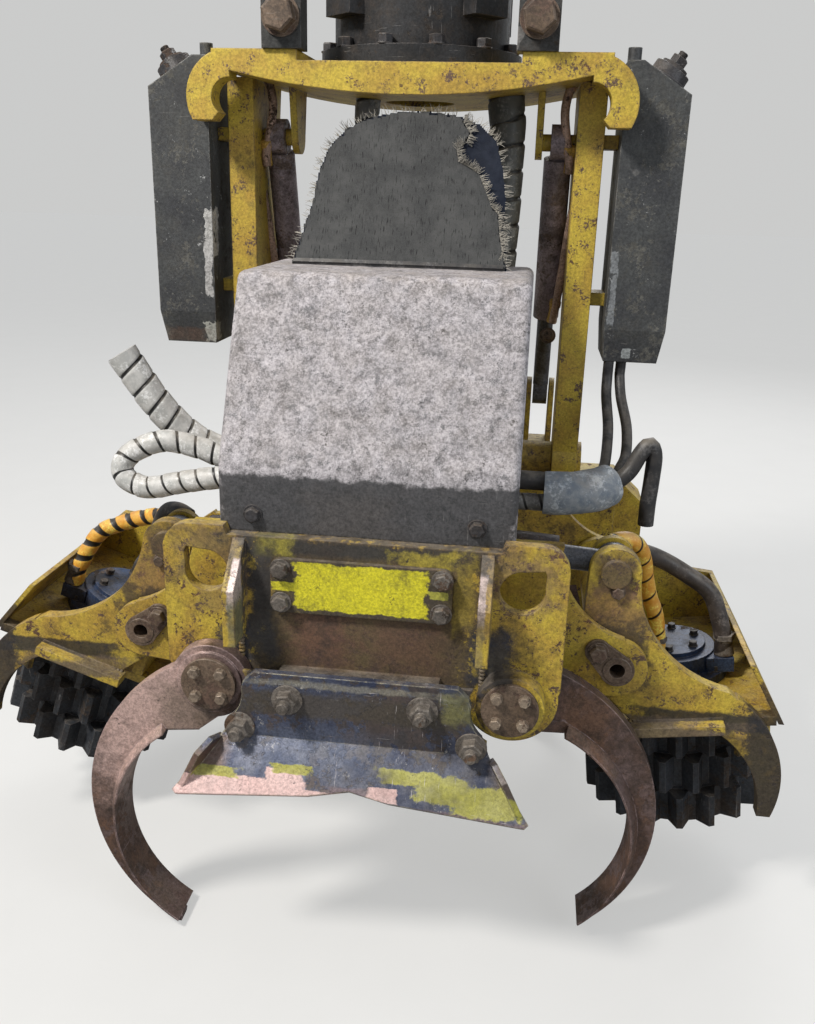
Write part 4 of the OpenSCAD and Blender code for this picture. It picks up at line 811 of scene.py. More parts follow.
@dataclass
class Hose:
    """A hose along a smooth route, with its cover drawn in its surface."""

    route: Sequence[Vector]
    radius: float
    cover: Cover
    pitch: float = 30.0
    sides: int = 20
    knots: int = 16  # points of the smooth line between two points of the route
    fine_step: float = 2.6  # where a cover has a relief, in millimetres
    plain_step: float = 6.0

    def line(self) -> list[Vector]:
        """Return the route as a smooth line of even steps."""
        p = list(self.route)
        fine: list[Vector] = []
        for i in range(len(p) - 1):
            a, b, c, d = p[max(i - 1, 0)], p[i], p[i + 1], p[min(i + 2, len(p) - 1)]
            for k in range(self.knots):
                t = k / self.knots
                fine.append(0.5 * (2 * b + t * (c - a) + t * t * (2 * a - 5 * b + 4 * c - d)
                                   + t * t * t * (3 * b - a - 3 * c + d)))
        fine.append(p[-1])
        total = sum((end - start).length for start, end in zip(fine, fine[1:]))
        step = self.fine_step if self.cover in (Cover.SPIRAL, Cover.GUARD) else self.plain_step
        steps = max(8, round(total / (step * MM)))
        out, walked, i = [fine[0]], 0.0, 0
        for k in range(1, steps):
            target = total * k / steps
            while walked + (fine[i + 1] - fine[i]).length < target:
                walked += (fine[i + 1] - fine[i]).length
                i += 1
            out.append(fine[i].lerp(fine[i + 1], (target - walked) / (fine[i + 1] - fine[i]).length))
        return out + [fine[-1]]

    def swell(self, phase: float, around: float, along: float) -> float:
        """Return how far the surface stands from the hose's line, as a share of its radius."""
        seam = min(phase, 1 - phase)
        if self.cover is Cover.SPIRAL:
            return 0.955 + 0.045 * phase - 0.09 * math.exp(-(seam / 0.06) ** 2)
        if self.cover is Cover.GUARD:
            return 0.89 + 0.11 * min(1.0, max(0.0, (seam - 0.15) / 0.05)) ** 0.5
        if self.cover is Cover.SLEEVE:
            fold = noise.noise(Vector((math.cos(around) * 1.6, math.sin(around) * 1.6, along / (34 * MM))))
            return 0.94 + 0.055 * fold
        return 1.0

    def model(self, name: str) -> bpy.types.Object:
        """Return the hose as a closed tube with its UV map and its wrap attribute."""
        line = self.line()
        n, sides = len(line), self.sides
        ahead = (line[1] - line[0]).normalized()
        across = ahead.orthogonal().normalized()
        points, wraps, lengths, along = [], [], [], 0.0
        for i, centre in enumerate(line):
            new = (line[min(i + 1, n - 1)] - line[max(i - 1, 0)]).normalized()
            across = ahead.rotation_difference(new) @ across
            ahead = new
            other = ahead.cross(across)
            if i:
                along += (centre - line[i - 1]).length
            lengths.append(along)
            for k in range(sides):
                angle = 2 * math.pi * k / sides
                phase = (along / (self.pitch * MM) - k / sides) % 1.0
                r = self.radius * MM * self.swell(phase, angle, along)
                points.append(centre + r * (math.cos(angle) * across + math.sin(angle) * other))
                wraps.append(2 * min(phase, 1 - phase))
        rings = [[i * sides + k for k in range(sides)] for i in range(n)]
        faces = [(low[k], low[(k + 1) % sides], high[(k + 1) % sides], high[k])
                 for low, high in zip(rings, rings[1:]) for k in range(sides)]
        mesh = bpy.data.meshes.new(name)
        mesh.from_pydata([tuple(p) for p in points], [], [*faces, rings[0][::-1], rings[-1]])
        mesh.attributes.new("wrap", "FLOAT", "POINT").data.foreach_set("value", wraps)
        sheet = mesh.uv_layers.new(name="path")
        for loop in mesh.loops:
            ring, k = divmod(loop.vertex_index, sides)
            sheet.data[loop.index].uv = k / sides, lengths[ring]
        piece = Bench.link(name, mesh)
        Bench.outward(piece)
        return Bench.done(piece, 50)


def crimp(start: Vector, direction: Vector, radius: float, length: float) -> bpy.types.Object:
    """Return a crimped ferrule with its hexagon, from a hose's end."""
    piece = Bench.rod(radius * 1.14, 0.0, length, 20)
    for level in (0.25, 0.4, 0.55, 0.7):
        Bench.cut(piece, (0, 0, level * length * MM), UP)
        bpy.ops.transform.resize(value=(0.93, 0.93, 1.0))
    whole = Bench.join([piece, Bench.rod(radius * 1.25, 0.93 * length, 1.27 * length, 6)], "ferrule")
    whole.data.transform(aim(start, direction))
    return Bench.done(whole, 40)


class Hoses:
    """All hoses that the head carries, in place of their plain solids."""

    block = 140.3  # where the valve block's sides are
    bent = {  # the hoses that cross the tilt joint stay in the row frame, unattached; each lists two points that bound its stretch across the joint
        "hose_right_pair": ((374, 290, 264), (380, 450, 415)), "hose_rise": ((6, 400, 265), (34, 500, 820)),
    }
    second_route = ((-18, 222, 172), (4, 232, 174), (26, 244, 164), (42, 262, 134), (52, 276, 92),
                    (64, 284, 52), (76, 286, 24))
    motor_route = ((0, 218.3, 150), (0, 230, 150), (0, 242, 150), (22, 262, 146), (70, 292, 124),
                   (124, 306, 92), (170, 308, 56))
    sleeve_end = Vector((358, 236, 268))
    sleeve_way = Vector((22, 20, 4)).normalized()
    port = (84.0, -40.0, 48.3)  # the motor's port in the roller's own axes
    second_port = (-28.0, -52.0, 58.0)

    def beside(self) -> dict[str, list[tuple[Hose, HoseFinish]]]:
        """Return the hoses at the head's sides, by the node that they stand for."""
        def hose(radius: float, cover: Cover, *points: Point, pitch: float = 30.0, sides: int = 20) -> Hose:
            """Return a hose through the head's millimetres."""
            return Hose([head(*p) for p in points], radius, cover, pitch, sides)

        end, way, b = self.sleeve_end, self.sleeve_way, self.block
        return {
            "hose_left_upper": [(hose(
                27, Cover.SPIRAL, (-b, 290, 263), (-200, 290, 263), (-262, 288, 265), (-314, 280, 279),
                (-357, 270, 308), (-397, 260, 355), (-429, 254, 405), (-450, 250, 440), pitch=36, sides=24),
                SUNLIT_WRAP)],
            "hose_left_lower": [(hose(
                19, Cover.SPIRAL, (-b, 170, 263), (-200, 170, 263), (-266, 172, 259), (-330, 176, 246),
                (-392, 180, 232), (-432, 184, 250), (-424, 192, 282), (-370, 204, 306), (-312, 213, 296),
                (-262, 215, 279), (-200, 215, 277), (-b, 215, 277)), SUNLIT_WRAP)],
            "hose_right_sleeve": [
                (hose(15, Cover.PLAIN, (b, 190, 282), (200, 190, 282), (262, 190, 282)), RUBBER),
                (hose(14, Cover.SPIRAL, (b, 190, 247), (200, 190, 247), (262, 190, 247), pitch=26), WRAP),
                (hose(36, Cover.SLEEVE, (256, 190, 264), (270, 190, 264), (284, 191, 264), (312, 202, 263),
                      *[tuple(end - s * way) for s in (24, 12, 0)], sides=32), SLEEVE),
                (hose(13, Cover.PLAIN, *[tuple(end + s * way) for s in (0.3, 10, 20)], (392, 256, 288),
                      (408, 262, 318), (421, 266, 331), (430, 269, 312), (430, 270, 271), (428, 268, 232),
                      (428, 268, 195)), RUBBER),
            ],
            "hose_right_pair": [
                (hose(9, Cover.PLAIN, (380, 450, 433.7), (380, 450, 419.7), (380, 450, 405.7),
                      (384, 430, 372), (394, 385, 330), (392, 335, 294), (380, 300, 277), (374, 280, 264)),
                 RUBBER),
                (hose(9, Cover.PLAIN, (358, 440, 433.7), (358, 440, 419.7), (358, 440, 405.7),
                      (358, 425, 375), (362, 375, 329), (358, 320, 288), (352, 296, 272), (347, 284, 262)),
                 RUBBER),
            ],
            "hose_rise": [
                (hose(32, Cover.SPIRAL, (96, 360.3, 265), (96, 376, 265), (96, 392, 265), (110, 425, 315),
                      (136, 446, 400), (150, 462, 520), (156, 482, 660), (157, 499, 800), (155.6, 500, 826.6),
                      (153.8, 500, 842.5), (152, 500, 858.4), pitch=44, sides=28), SHADED_WRAP),
                (hose(22, Cover.SPIRAL, (-80, 360.3, 262), (-80, 376, 262), (-80, 392, 262), (-82, 428, 318),
                      (-84, 448, 420), (-85, 465, 550), (-86, 488, 690), (-86, 499, 800), (-86, 500, 820.4),
                      (-85, 500, 836.4), (-84, 500, 852.3), pitch=34), WRAP),
            ],
        }

    def on_arm(self, arm: Arm) -> None:
        """Build the two hoses and their ferrules on one roller arm."""
        if arm.side < 0:
            covers, finishes = (Cover.GUARD, Cover.PLAIN), (GUARD, RUBBER)
        else:
            covers, finishes = (Cover.PLAIN, Cover.SPIRAL), (BROWN_RUBBER, WIDE_GUARD)
        x, y, z = self.port
        route = [arm.point(*p) for p in self.motor_route] + [arm.roller(x, y, z + s) for s in (34, 17, 0)]
        piece = Hose(route, 15, covers[0], 34, 24).model(f"motor_hose_{arm.name}_covered")
        Bench.dress(piece, finishes[0], arm.body, "hose_rubber")
        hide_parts(f"motor_hose_{arm.name}")
        back = route[-2] - route[-1]
        ends = [crimp(route[-1] + 2 * MM * back.normalized(), back, 15, 30)]
        x, y, z = self.second_port
        route = [arm.point(*p) for p in self.second_route] + [arm.roller(x, y, z + s) for s in (38, 20, 0)]
        piece = Hose(route, 14, covers[1], 38, 24).model(f"second_hose_{arm.name}")
        Bench.dress(piece, finishes[1], arm.body, "hose_rubber")
        ends.append(crimp(route[-1], route[-2] - route[-1], 12, 26))
        Bench.dress(Bench.join(ends, f"motor_hose_ferrule_{arm.name}"), Paints.bolts, arm.body)

    def build(self) -> None:
        """Build every hose and set it in place of its node."""
        for node, parts in self.beside().items():
            pieces = []
            for number, (hose, finish) in enumerate(parts):
                pieces.append(hose.model(f"{node}_{number}"))
                pieces[-1].data.materials.append(finish.build())
            whole = Bench.join(pieces, f"{node}_wrapped")
            if node in self.bent:
                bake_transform(whole)
            else:
                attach(whole, "head_frame")
            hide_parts(node)
            log.info("%s: %d faces", whole.name, len(whole.data.polygons))
        for side in SIDES:
            self.on_arm(Arm(side))


class TiltLines:
    """The hard lines along the tilt cylinders, with their fittings."""

    lines = (
        ((275, 512, 892), (258, 503, 872), (252, 500, 838), (258, 497, 795), (265, 497, 762),
         (266, 504, 742)),
        ((298, 512, 892), (287, 508, 850), (286, 512, 756), (276, 530, 662), (265, 560, 537),
         (262, 570, 505), (259, 582, 478)),
    )
    bolt = (252, 586, 452)

    def build(self) -> None:
        """Build both sides."""
        for side, name in SIDES.items():
            pieces, ends = [], []
            for number, points in enumerate(self.lines):
                route = [head(side * x, y, z) for x, y, z in points]
                pieces.append(Hose(route, 7.5, Cover.PLAIN, sides=14).model(f"tilt_line_{number}"))
                ends.append(crimp(route[-1], route[-2] - route[-1], 9.0, 34))
            body = f"tilt_cylinder_{name}"
            Bench.dress(Bench.join(pieces, f"tilt_lines_{name}"), Paints.line, body)
            Bench.dress(Bench.join(ends, f"tilt_fittings_{name}"), Paints.brass, body)
            x, y, z = self.bolt
            place = aim(head(side * x, y, z), Vector((0, -1, 0.2)), 20)
            Fastener(20, 10, 1.3).put(f"tilt_line_bolt_{name}", [place], body, Paints.pins)


class Welds:
    """Rippled weld beads where plates stand on each other."""

    radius = 5.0
    step = 6.0
    ribs = ((181, -2, 8), (181, -2, 160))
    shelf = ((32, 134, -103), (110, 134, -103), (176, 134, -103))

    def bead(self, points: Sequence[Vector], name: str) -> bpy.types.Object:
        """Return a bead as overlapping scales from the first point to the last."""
        scale = Bench.add("uv_sphere", segments=10, ring_count=6, radius=self.radius * MM)
        Bench.edit(scale)
        bpy.ops.transform.resize(value=(1.0, 1.0, 0.72))
        frames = []
        for start, end in zip(points, points[1:]):
            steps = max(1, round((end - start).length / (self.step * MM)))
            frames += [aim(start.lerp(end, k / steps), end - start, 37 * k) for k in range(steps + 1)]
        return Bench.stamp(name, scale, frames)

    def build(self) -> None:
        """Build the beads of the front wall's ribs and the arms' shelves."""
        beads = [self.bead([head(side * x, y, z) for x, y, z in self.ribs], "bead") for side in SIDES]
        Bench.dress(Bench.join(beads, "rib_welds"), Paints.weld, "head_frame")
        for arm in map(Arm, SIDES):
            bead = self.bead([arm.point(*p) for p in self.shelf], f"shelf_weld_{arm.name}")
            Bench.dress(bead, Paints.weld, arm.body)


class Tanks:
    """The screw caps on the dye tanks."""

    radius, rim = 34.0, 7.0
    steps = ((3.0, 0.0), (0.5, 15.0), (7.0, 0.0), (1.0, 6.0))  # inset and rise of each step
    bolt_height = 27.0

    def cap(self) -> bpy.types.Object:
        """Return a stepped cap at the origin, along +Z."""
        piece = Bench.rod(self.radius, 0.0, self.rim, 36)
        Bench.edit(piece, lambda f: f.normal.z > 0.9)
        for inset, rise in self.steps:
            bpy.ops.mesh.inset(thickness=inset * MM)
            bpy.ops.transform.translate(value=(0, 0, rise * MM))
        Bench.modify(piece, "BEVEL", width=0.9 * MM, segments=2)
        return Bench.done(piece)

    def build(self) -> None:
        """Build both caps and their bolts."""
        places = [(head(side * 407, 470, 884), Vector((side * 0.53, 0, 0.85))) for side in SIDES]
        caps = Bench.stamp("tank_caps", self.cap(), [aim(*place) for place in places])
        Bench.dress(caps, Paints.dark, "tilt_frame")
        bolts = [aim(at + self.bolt_height * MM * way.normalized(), way, 15) for at, way in places]
        Fastener(24, 12, 1.1, 8).put("tank_cap_bolts", bolts, "tilt_frame", Paints.dark)


# --------------------------------------------------------------------------- hood and flap


@dataclass
class Hood:
    """The bent sheet hood with its bolts and hose holes."""

    half: float = 218.0
    front: float = 20.0
    back: float = 405.0
    bottom: float = 229.0
    band: float = 94.0
    height: float = 361.0
    run: float = 125.0
    sheet: float = 8.0
    bend: float = 13.0
    strips: int = 12
    dent: float = 1.3
    left_holes = ((290, 263, 30), (170, 263, 22), (215, 277, 22))  # y, z and radius
    right_holes = ((190, 282, 17), (190, 247, 16))

    def shell(self) -> bpy.types.Object:
        """Return the hood as a bent and dented sheet."""
        low = head(-self.half, self.front, self.bottom)
        high = head(self.half, self.back, self.bottom + self.height)
        piece = Bench.add("cube", size=1.0, location=(low + high) / 2, scale=high - low)
        bpy.ops.object.transform_apply(location=True, rotation=True, scale=True)
        Bench.cut(piece, (0, 0, low.z + self.band * MM), UP)
        Bench.edit(piece, lambda v: v.co.z > high.z - 1e-4 and v.co.y < low.y + 1e-4, "VERT")
        bpy.ops.transform.translate(value=(0, self.run * MM, 0))
        Bench.edit(piece, lambda f: f.normal.z < -0.9 or f.normal.y > 0.9)
        bpy.ops.mesh.delete(type="ONLY_FACE")
        Bench.edit(piece, lambda e: len(e.link_faces) == 2 and e.calc_face_angle(0.0) > 0.3, "EDGE")
        bpy.ops.mesh.bevel(offset=self.bend * MM, segments=4, profile=0.5)
        for across in (Vector((1, 0, 0)), UP):
            for number in range(1, self.strips):
                Bench.cut(piece, low + number / self.strips * (high - low), across)
        Bench.clear()
        for vertex in piece.data.vertices:
            dent = noise.noise(vertex.co * 9.0) + 0.5 * noise.noise(vertex.co * 21.0)
            vertex.co -= vertex.normal * self.dent * MM * max(0.0, dent)
        Bench.modify(piece, "SOLIDIFY", thickness=self.sheet * MM, offset=-1.0)
        for side, holes in ((-1, self.left_holes), (1, self.right_holes)):
            for y, z, radius in holes:
                tool = Bench.add("cylinder", vertices=32, radius=radius * MM, depth=0.05,
                                 location=head(side * self.half, y, z), rotation=(0, math.pi / 2, 0))
                Bench.modify(piece, "BOOLEAN", operation="DIFFERENCE", solver="EXACT", object=tool)
                bpy.data.objects.remove(tool)
        return Bench.done(piece, 40)

    def build(self) -> None:
        """Build the hood, its bolts and the rings in its left holes."""
        piece = self.shell()
        piece.name = piece.data.name = "hood_sheet"
        Bench.dress(piece, Paints.hood, "head_frame", "black_paint")
        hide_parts("hood")
        bolts = [aim(head(x, self.front, 256), FORWARD, 12 * x) for x in (-165, 162)]
        Fastener(19, 8, 1.3).put("hood_bolts", bolts, "head_frame", Paints.dark)
        grommets = []
        for y, z, radius in self.left_holes:
            grommets.append(Bench.done(Bench.add(
                "torus", location=head(-self.half - 1, y, z), rotation=(0, math.pi / 2, 0), major_segments=36,
                minor_segments=8, major_radius=radius * MM, minor_radius=3.5 * MM)))
        Bench.dress(Bench.join(grommets, "hood_grommets"), RUBBER, "head_frame", "hose_rubber")


@dataclass(frozen=True)
class BeltFinish(Coating):
    """Woven belt fabric or the rubber under it, on the piece's own UV map."""

    colour: Colour
    second: Colour
    threads: float = 0.0
    rough: float = 0.9

    def surface(self, g: Graph) -> dict[str, object]:
        """Lay blotches, stains and the threads of the weave over each other."""
        place, path = g.spot(), g.spot("UV")
        blotch = g.span(g.noise(place, 22.0, 7.0, 0.7), 0.36, 0.64)
        colour = g.mix(blotch, self.colour, self.second)
        stain = WEAR.mask(g, place, Scale=17.0, Level=0.40, Soft=0.06)
        colour = g.mix(g.times(stain, 0.5), colour, shaded(self.colour, 0.62))
        height = g.noise(place, 500.0, 3.0, 0.7)
        if self.threads:
            for turn in (0.0, math.pi / 2):
                cells = g.mapped(path, Rotation=(0.0, 0.0, turn))
                wave = g.add("TexWave", {"Vector": cells, "Scale": self.threads, "Distortion": 1.5,
                                         "Detail": 2.0, "Detail Scale": 3.0})
                height = g.plus(height, g.times(wave.outputs["Fac"], 0.8))
            colour = g.mix(g.times(g.span(height, 0.9, 1.9), 0.6), colour, shaded(self.second, 1.7))
            streak = g.noise(g.mapped(path, Scale=(420.0, 60.0, 1.0)), 1.0, 3.0)
            colour = g.mix(g.span(streak, 0.56, 0.70), colour, shaded(self.colour, 0.45))
        return {"Base Color": colour, "Roughness": g.blend(blotch, self.rough, self.rough - 0.1),
                "Normal": g.bump(0.6, 0.8, height), "Specular IOR Level": 0.15}


# grey belt cloth with painted shade: darker than its own tone, standing for the shadow the flap stands in
SHADED_BELT_CLOTH = BeltFinish("belt_fabric_painted_shade", (0.040, 0.041, 0.042), (0.073, 0.073, 0.072), 190.0)
BELT_RUBBER = BeltFinish("rubber_ply", (0.007, 0.010, 0.020), (0.014, 0.018, 0.030), rough=0.75)
THREADS = BeltFinish("belt_threads", (0.22, 0.205, 0.18), (0.40, 0.37, 0.32), rough=0.95)


@dataclass
class Flap:
    """A torn piece of belt standing on the hood: a rubber core, a fabric face and loose threads."""

    foot_y: float = 300.0
    foot_z: float = 590.0
    lean: float = math.radians(22.0)
    height: float = 256.0
    half: float = 175.0
    bulge: float = 16.0  # how far its middle stands forward at the top
    sag: float = 5.0  # how far its sides lie back
    ripple: float = 4.0
    blank: tuple[float, float, float] = (372.0, 268.0, 4.0)  # the uncut sheet, and what lies under its foot
    strands: int = 900
    outline: tuple[tuple[float, float], ...] = (
        (-175, -4), (-162, 47), (-147, 106), (-141, 156), (-126, 194), (-100, 222), (-62, 242), (-14, 254),
        (34, 256), (82, 250), (120, 236), (147, 210), (161, 163), (168, 115), (168, 66), (177, -4),
    )
    notch: tuple[tuple[float, float], ...] = (
        (96, 262), (92, 240), (104, 222), (98, 206), (84, 196), (88, 176), (104, 168), (122, 158), (134, 132),
        (146, 104), (158, 92), (162, 60), (168, 30), (190, 20), (190, 262),
    )

    def place(self, x: float, s: float, out: float) -> Vector:
        """Return the row-frame point at x across, s up the flap and out from its front face."""
        up, across = s / self.height, x / self.half
        curve = self.bulge * up ** 2 * (1 - (x / 190.0) ** 2) - self.sag * across ** 2
        rise = out + curve * 0.5 + self.ripple * up * math.sin(x / 47.0 + s / 60.0)
        cos, sin = math.cos(self.lean), math.sin(self.lean)
        return head(x, self.foot_y + s * sin - rise * cos, self.foot_z + s * cos + rise * sin)

    @staticmethod
    def inside(x: float, s: float, shape: Sequence[tuple[float, float]]) -> bool:
        """Return whether a point lies in a closed outline."""
        hit = False
        for (ax, ay), (bx, by) in zip(shape, (*shape[1:], shape[0])):
            if (ay > s) != (by > s) and x < (bx - ax) * (s - ay) / (by - ay) + ax:
                hit = not hit
        return hit

    def sheet(self, name: str, out: float, thick: float, ragged: float, coating: Coating,
              keep: Callable[[float, float], bool]) -> bpy.types.Object:
        """Build one layer of the belt, cut to where keep says.

        Args:
            name: The layer's name.
            out: How far the layer's middle lies in front of the flap's middle, in millimetres.
            thick: The layer's thickness.
            ragged: How far its edge wanders.
            coating: What covers it.
            keep: Whether a point across and up belongs to the layer.

        Returns:
            The layer as a closed sheet.
        """
        wide, high, under = self.blank
        piece = Bench.add("grid", x_subdivisions=130, y_subdivisions=96, size=1.0)
        piece.name = name
        layer = piece.data.uv_layers[0].data
        for vertex in piece.data.vertices:
            vertex.co = Vector((vertex.co.x * wide, (vertex.co.y + 0.5) * high - under, 0.0))
        for loop in piece.data.loops:
            layer[loop.index].uv = piece.data.vertices[loop.vertex_index].co.xy * MM
        spots = {}
        for v in piece.data.vertices:
            wander = noise.noise(v.co * 0.11), noise.noise(v.co * 0.13 + Vector((7, 3, 1)))
            spots[v.index] = v.co.x + ragged * wander[0], v.co.y + ragged * wander[1]
        Bench.edit(piece, lambda v: not keep(*spots[v.index]), "VERT")
        bpy.ops.mesh.delete(type="VERT")
        Bench.clear()
        for vertex in piece.data.vertices:
            vertex.co = self.place(vertex.co.x, max(0.0, vertex.co.y), out)
        Bench.modify(piece, "SOLIDIFY", thickness=thick * MM, offset=0.0)
        Bench.outward(piece)
        return Bench.dress(Bench.done(piece, 50), coating, "head_frame", "belt_rubber")

    def threads(self, draw: random.Random) -> bpy.types.Object:
        """Return the loose threads along the belt's torn edges."""
        strand = Bench.add("cone", vertices=3, radius1=0.55 * MM, radius2=0.25 * MM, depth=1.0,
                           location=(0, 0, 0.5))
        bpy.ops.object.transform_apply(location=True, rotation=True, scale=True)
        for level in (0.33, 0.66):
            Bench.cut(strand, (0, 0, level), UP)
        Bench.clear()
        edges = [*zip(self.outline, self.outline[1:]), *[*zip(self.notch, self.notch[1:-1])] * 2]
        copies = []
        for _ in range(self.strands):
            (ax, ay), (bx, by) = draw.choice(edges)
            t = draw.random()
            x, s = ax + t * (bx - ax), ay + t * (by - ay)
            if s < 3 or not self.inside(x * 0.97, s * 0.98, self.outline):
                continue
            base = self.place(x * 0.985, s * 0.985, 5 + draw.uniform(-1.5, 1.5))
            out = Vector((by - ay, 0, ax - bx)).normalized() * (-1 if draw.random() < 0.12 else 1)
            out = Vector((-out.x, 0, -out.z)) if (x * out.x + (s - 110) * out.z) < 0 else out
            out += Vector((draw.uniform(-0.45, 0.45), draw.uniform(-0.5, 0.4), draw.uniform(-0.45, 0.35)))
            size = draw.uniform(5, 15) * MM
            copy = Bench.link("thread", strand.data.copy())
            bend = Vector((draw.uniform(-1, 1), draw.uniform(-1, 1), 0)) * 0.35 * size
            for vertex in copy.data.vertices:
                z = vertex.co.z
                vertex.co = vertex.co + bend * z ** 2
                vertex.co.z = z * size
            copy.data.transform(aim(base, out))
            copies.append(copy)
        bpy.data.objects.remove(strand)
        return Bench.done(Bench.join(copies, "flap_threads"))

    def build(self) -> None:
        """Build the flap's layers and threads."""
        core = self.sheet("flap_core", -4.5, 9.0, 2.0, BELT_RUBBER,
                          lambda x, s: self.inside(x, s, self.outline))
        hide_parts("rubber_flap")
        self.sheet("flap_fabric", 2.2, 3.6, 5.0, SHADED_BELT_CLOTH, lambda x, s: (
            self.inside(x * 1.01, s * 1.01, self.outline) and not self.inside(x, s, self.notch)))
        self.sheet("flap_foot", 6.4, 6.0, 1.5, RUBBER, lambda x, s: abs(x) < 171 and s < 9)
        Bench.dress(self.threads(random.Random(5)), THREADS, "head_frame", "belt_rubber")


# --------------------------------------------------------------------------- fasteners on the frame


class FrontWall:
    """Fasteners on the front wall, the fixed knife and the knife pins."""

    corners = ((-118, 132), (-118, 184), (118, 132), (118, 184))
    nuts = ((-100, -4), (100, -4), (-173, -56), (173, -56))

    def build(self) -> None:
        """Build every fastener that faces forward."""
        Fastener(22, 9, 1.25).put(
            "cover_bolts", [aim(head(x, -8, z), FORWARD, 7 * x) for x, z in self.corners], "head_frame")
        screws = [aim(head(side * 225 + dx, -36, dz), FORWARD, dx * 3 + dz)
                  for side in SIDES for dx in (-20, 20) for dz in (-20, 20)]
        Fastener(15, 7, 1.1).put("knife_cover_screws", screws, "head_frame", Paints.screws)
        Fastener(30, 16, 1.35, 12).put(
            "fixed_knife_nuts", [aim(head(x, -50, z), FORWARD, 11 * x) for x, z in self.nuts], "head_frame")
        keepers = [aim(head(side * 356, 108, 35), FORWARD, 20) for side in SIDES]
        Fastener(24, 12, 1.2).put("keeper_bolts", keepers, "head_frame", Paints.pins)


class RollerArms:
    """Fasteners on the two roller arms and their motors."""

    def build(self) -> None:
        """Build both sides."""
        for arm in map(Arm, SIDES):
            lug = [aim(arm.point(-8, 135, 122), FORWARD, 10)]
            for bolt, name, frames, finish in (
                    (Fastener(17, 8, 1.2), "lug_bolt", lug, Paints.pins),
                    (Fastener(16, 9, 1.15), "motor_bolts", arm.ring(10, 86, 22), Paints.dark),
                    (Fastener(13, 7, 1.1), "motor_cap_bolts", arm.ring(6, 46, 60, 20), Paints.dark)):
                bolt.put(f"{name}_{arm.name}", frames, arm.body, finish)


class TiltFrame:
    """Fasteners on the tilt frame: its stop blocks and the rotator's flange."""

    def build(self) -> None:
        """Build every fastener that turns with the tilt frame."""
        blocks = [aim(head(side * 201, 364, 960), FORWARD, 14) for side in SIDES]
        Fastener(46, 22, 1.15).put("stop_block_bolts", blocks, "tilt_frame", Paints.pins)
        ring = [aim(head(x, 557 + y, 926), UP, turn) for x, y, turn in circle(12, 160, 15)]
        Fastener(22, 12, 1.15).put("flange_bolts", ring, "tilt_frame", Paints.dark)


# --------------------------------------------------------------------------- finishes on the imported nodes


# Names that end in an underscore stand for a left and a right node
NODE_FINISH: tuple[tuple[Finish, str], ...] = (
    (Paints.wall, "front_plate"), (Paints.cover, "front_cover"), (Paints.fixed, "fixed_knife"),
    (Paints.beam, "beam_sides beam_deck beam_floor cylinder_anchors tilt_pivots rod_lugs rear_bracket"),
    (Paints.beam, "measuring_arm"),
    (Paints.frame, "front_bracket tilt_frame"), (Paints.dark, "valve_solenoids valve_block saw_motor"),
    (Paints.pins, "frame_pins"), (Paints.roller, "measuring_wheel saw_chain feed_roller_"),
    (Paints.saw, "saw_box"), (Paints.bar, "saw_bar"), (Paints.block, "stop_blocks"),
    (Paints.rotator, "rotator_flange rotator hanger"), (Paints.knife, "front_knife_ rear_knife_"),
    (Paints.arm, "roller_arm_ roller_deck_"), (Paints.motor, "hub_motor_"),
    (Paints.cylinder, "arm_cylinder_"), (Paints.rod, "arm_rod_ tilt_rod_"), (Paints.tank, "dye_tank_"),
    (Paints.barrel, "tilt_cylinder_"),
)


def dress_nodes() -> None:
    """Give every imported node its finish."""
    for finish, names in NODE_FINISH:
        for stem in names.split():
            for name in [stem + side for side in SIDES.values()] if stem.endswith("_") else [stem]:
                mesh = frame["nodes"][name].data
                mesh.materials.clear()
                mesh.materials.append(finish.build())


@dataclass(frozen=True)
class FloorFinish(Coating):
    """The pale floor; only the camera sees its glow, which meets the world's colour."""

    dark: Colour = (0.27, 0.266, 0.26)
    pale: Colour = (0.30, 0.296, 0.29)
    glow: Colour = (0.66, 0.66, 0.65)

    def surface(self, g: Graph) -> dict[str, object]:
        """Mix two tones and light what the camera sees."""
        seen = g.add("LightPath").outputs["Is Camera Ray"]
        return {"Base Color": g.mix(g.noise(g.spot(), 6.0), self.dark, self.pale), "Roughness": 0.9,
                "Emission Color": self.glow, "Emission Strength": g.times(seen, 0.68)}


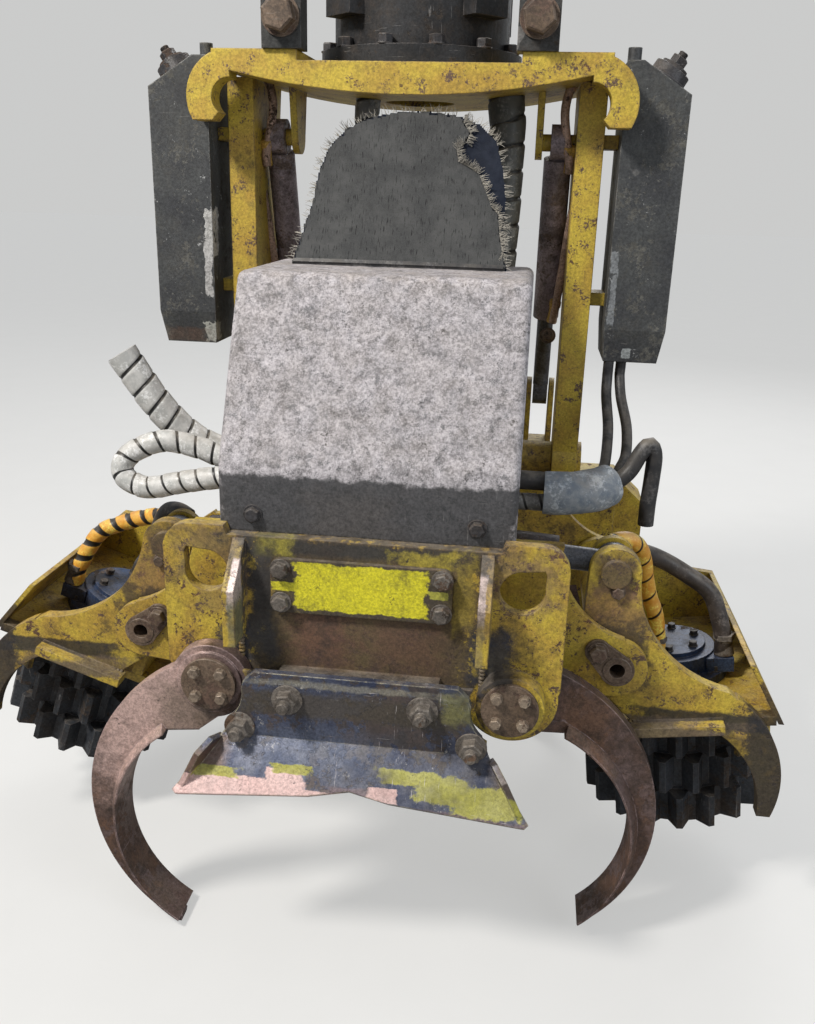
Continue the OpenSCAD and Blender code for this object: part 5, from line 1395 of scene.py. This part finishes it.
class Studio:
    """Floor, lights, world and the camera of the photograph."""

    camera_at = (215.5, -1250.0, 712.5)
    yaw, pitch, roll = 6.9, 18.9, 1.6
    focal_pixels, long_side, sensor = 950.0, 1024.0, 36.0
    sky_light, sky_seen = (0.43, 0.45, 0.47), (0.597, 0.600, 0.595)
    lamps = (  # name, place, aim, size, power and colour
        ("key", (-1.9, -2.0, 3.7), (0, 0, 0.8), 0.7, 190.0, (1.0, 0.97, 0.92)),
        ("fill", (3.4, -2.2, 2.2), (0, 0, 0.8), 2.6, 45.0, (0.90, 0.95, 1.0)),
        ("back", (1.2, 3.6, 3.4), (0, 0, 0.9), 2.4, 90.0, (1.0, 1.0, 1.0)),
    )

    def camera(self) -> None:
        """Place the camera where the photograph was taken."""
        yaw, pitch, roll = (math.radians(a) for a in (self.yaw, self.pitch, self.roll))
        ahead = Vector((-math.sin(yaw) * math.cos(pitch), math.cos(yaw) * math.cos(pitch), -math.sin(pitch)))
        level = ahead.cross(UP).normalized()
        above = level.cross(ahead)
        right = math.cos(roll) * level + math.sin(roll) * above
        up = -math.sin(roll) * level + math.cos(roll) * above
        data = bpy.data.cameras.new("camera")
        data.sensor_width = self.sensor
        data.lens = self.focal_pixels / self.long_side * self.sensor
        data.clip_start = 0.05
        camera = Bench.link("camera", data)
        camera.matrix_world = Matrix.Translation(head(*self.camera_at)) @ Matrix(
            (right, up, -ahead)).transposed().to_4x4()
        bpy.context.scene.camera = camera

    def build(self) -> None:
        """Build the studio."""
        self.camera()
        for name, at, towards, size, power, colour in self.lamps:
            data = bpy.data.lights.new(name, "AREA")
            data.shape, data.size, data.energy, data.color = "DISK", size, power, colour
            lamp = Bench.link(name, data)
            lamp.location = at
            lamp.rotation_euler = (Vector(towards) - Vector(at)).to_track_quat("-Z", "Y").to_euler()
        world = bpy.data.worlds.new("studio")
        world.use_nodes = True
        sky = Graph(world.node_tree)
        seen = sky.add("LightPath").outputs["Is Camera Ray"]
        colour = sky.mix(seen, self.sky_light, self.sky_seen)
        sky.plug(sky.tree.nodes["Background"].inputs["Color"], colour)
        bpy.context.scene.world = world
        floor = Bench.add("plane", size=60.0, location=(0, 0, -0.0005))
        floor.name = "floor"
        floor.data.materials.append(FloorFinish("floor").build())
        bpy.context.scene.view_settings.view_transform = "Standard"


def main() -> None:
    """Build the whole head in order."""
    logging.basicConfig(level=logging.INFO, format="%(message)s")
    Studio().build()
    dress_nodes()
    for part in (Hood, Flap, FrontWall, RollerArms, TiltFrame, Tanks, Welds, TiltLines, Hoses):
        part().build()


if __name__ == "__main__":
    main()
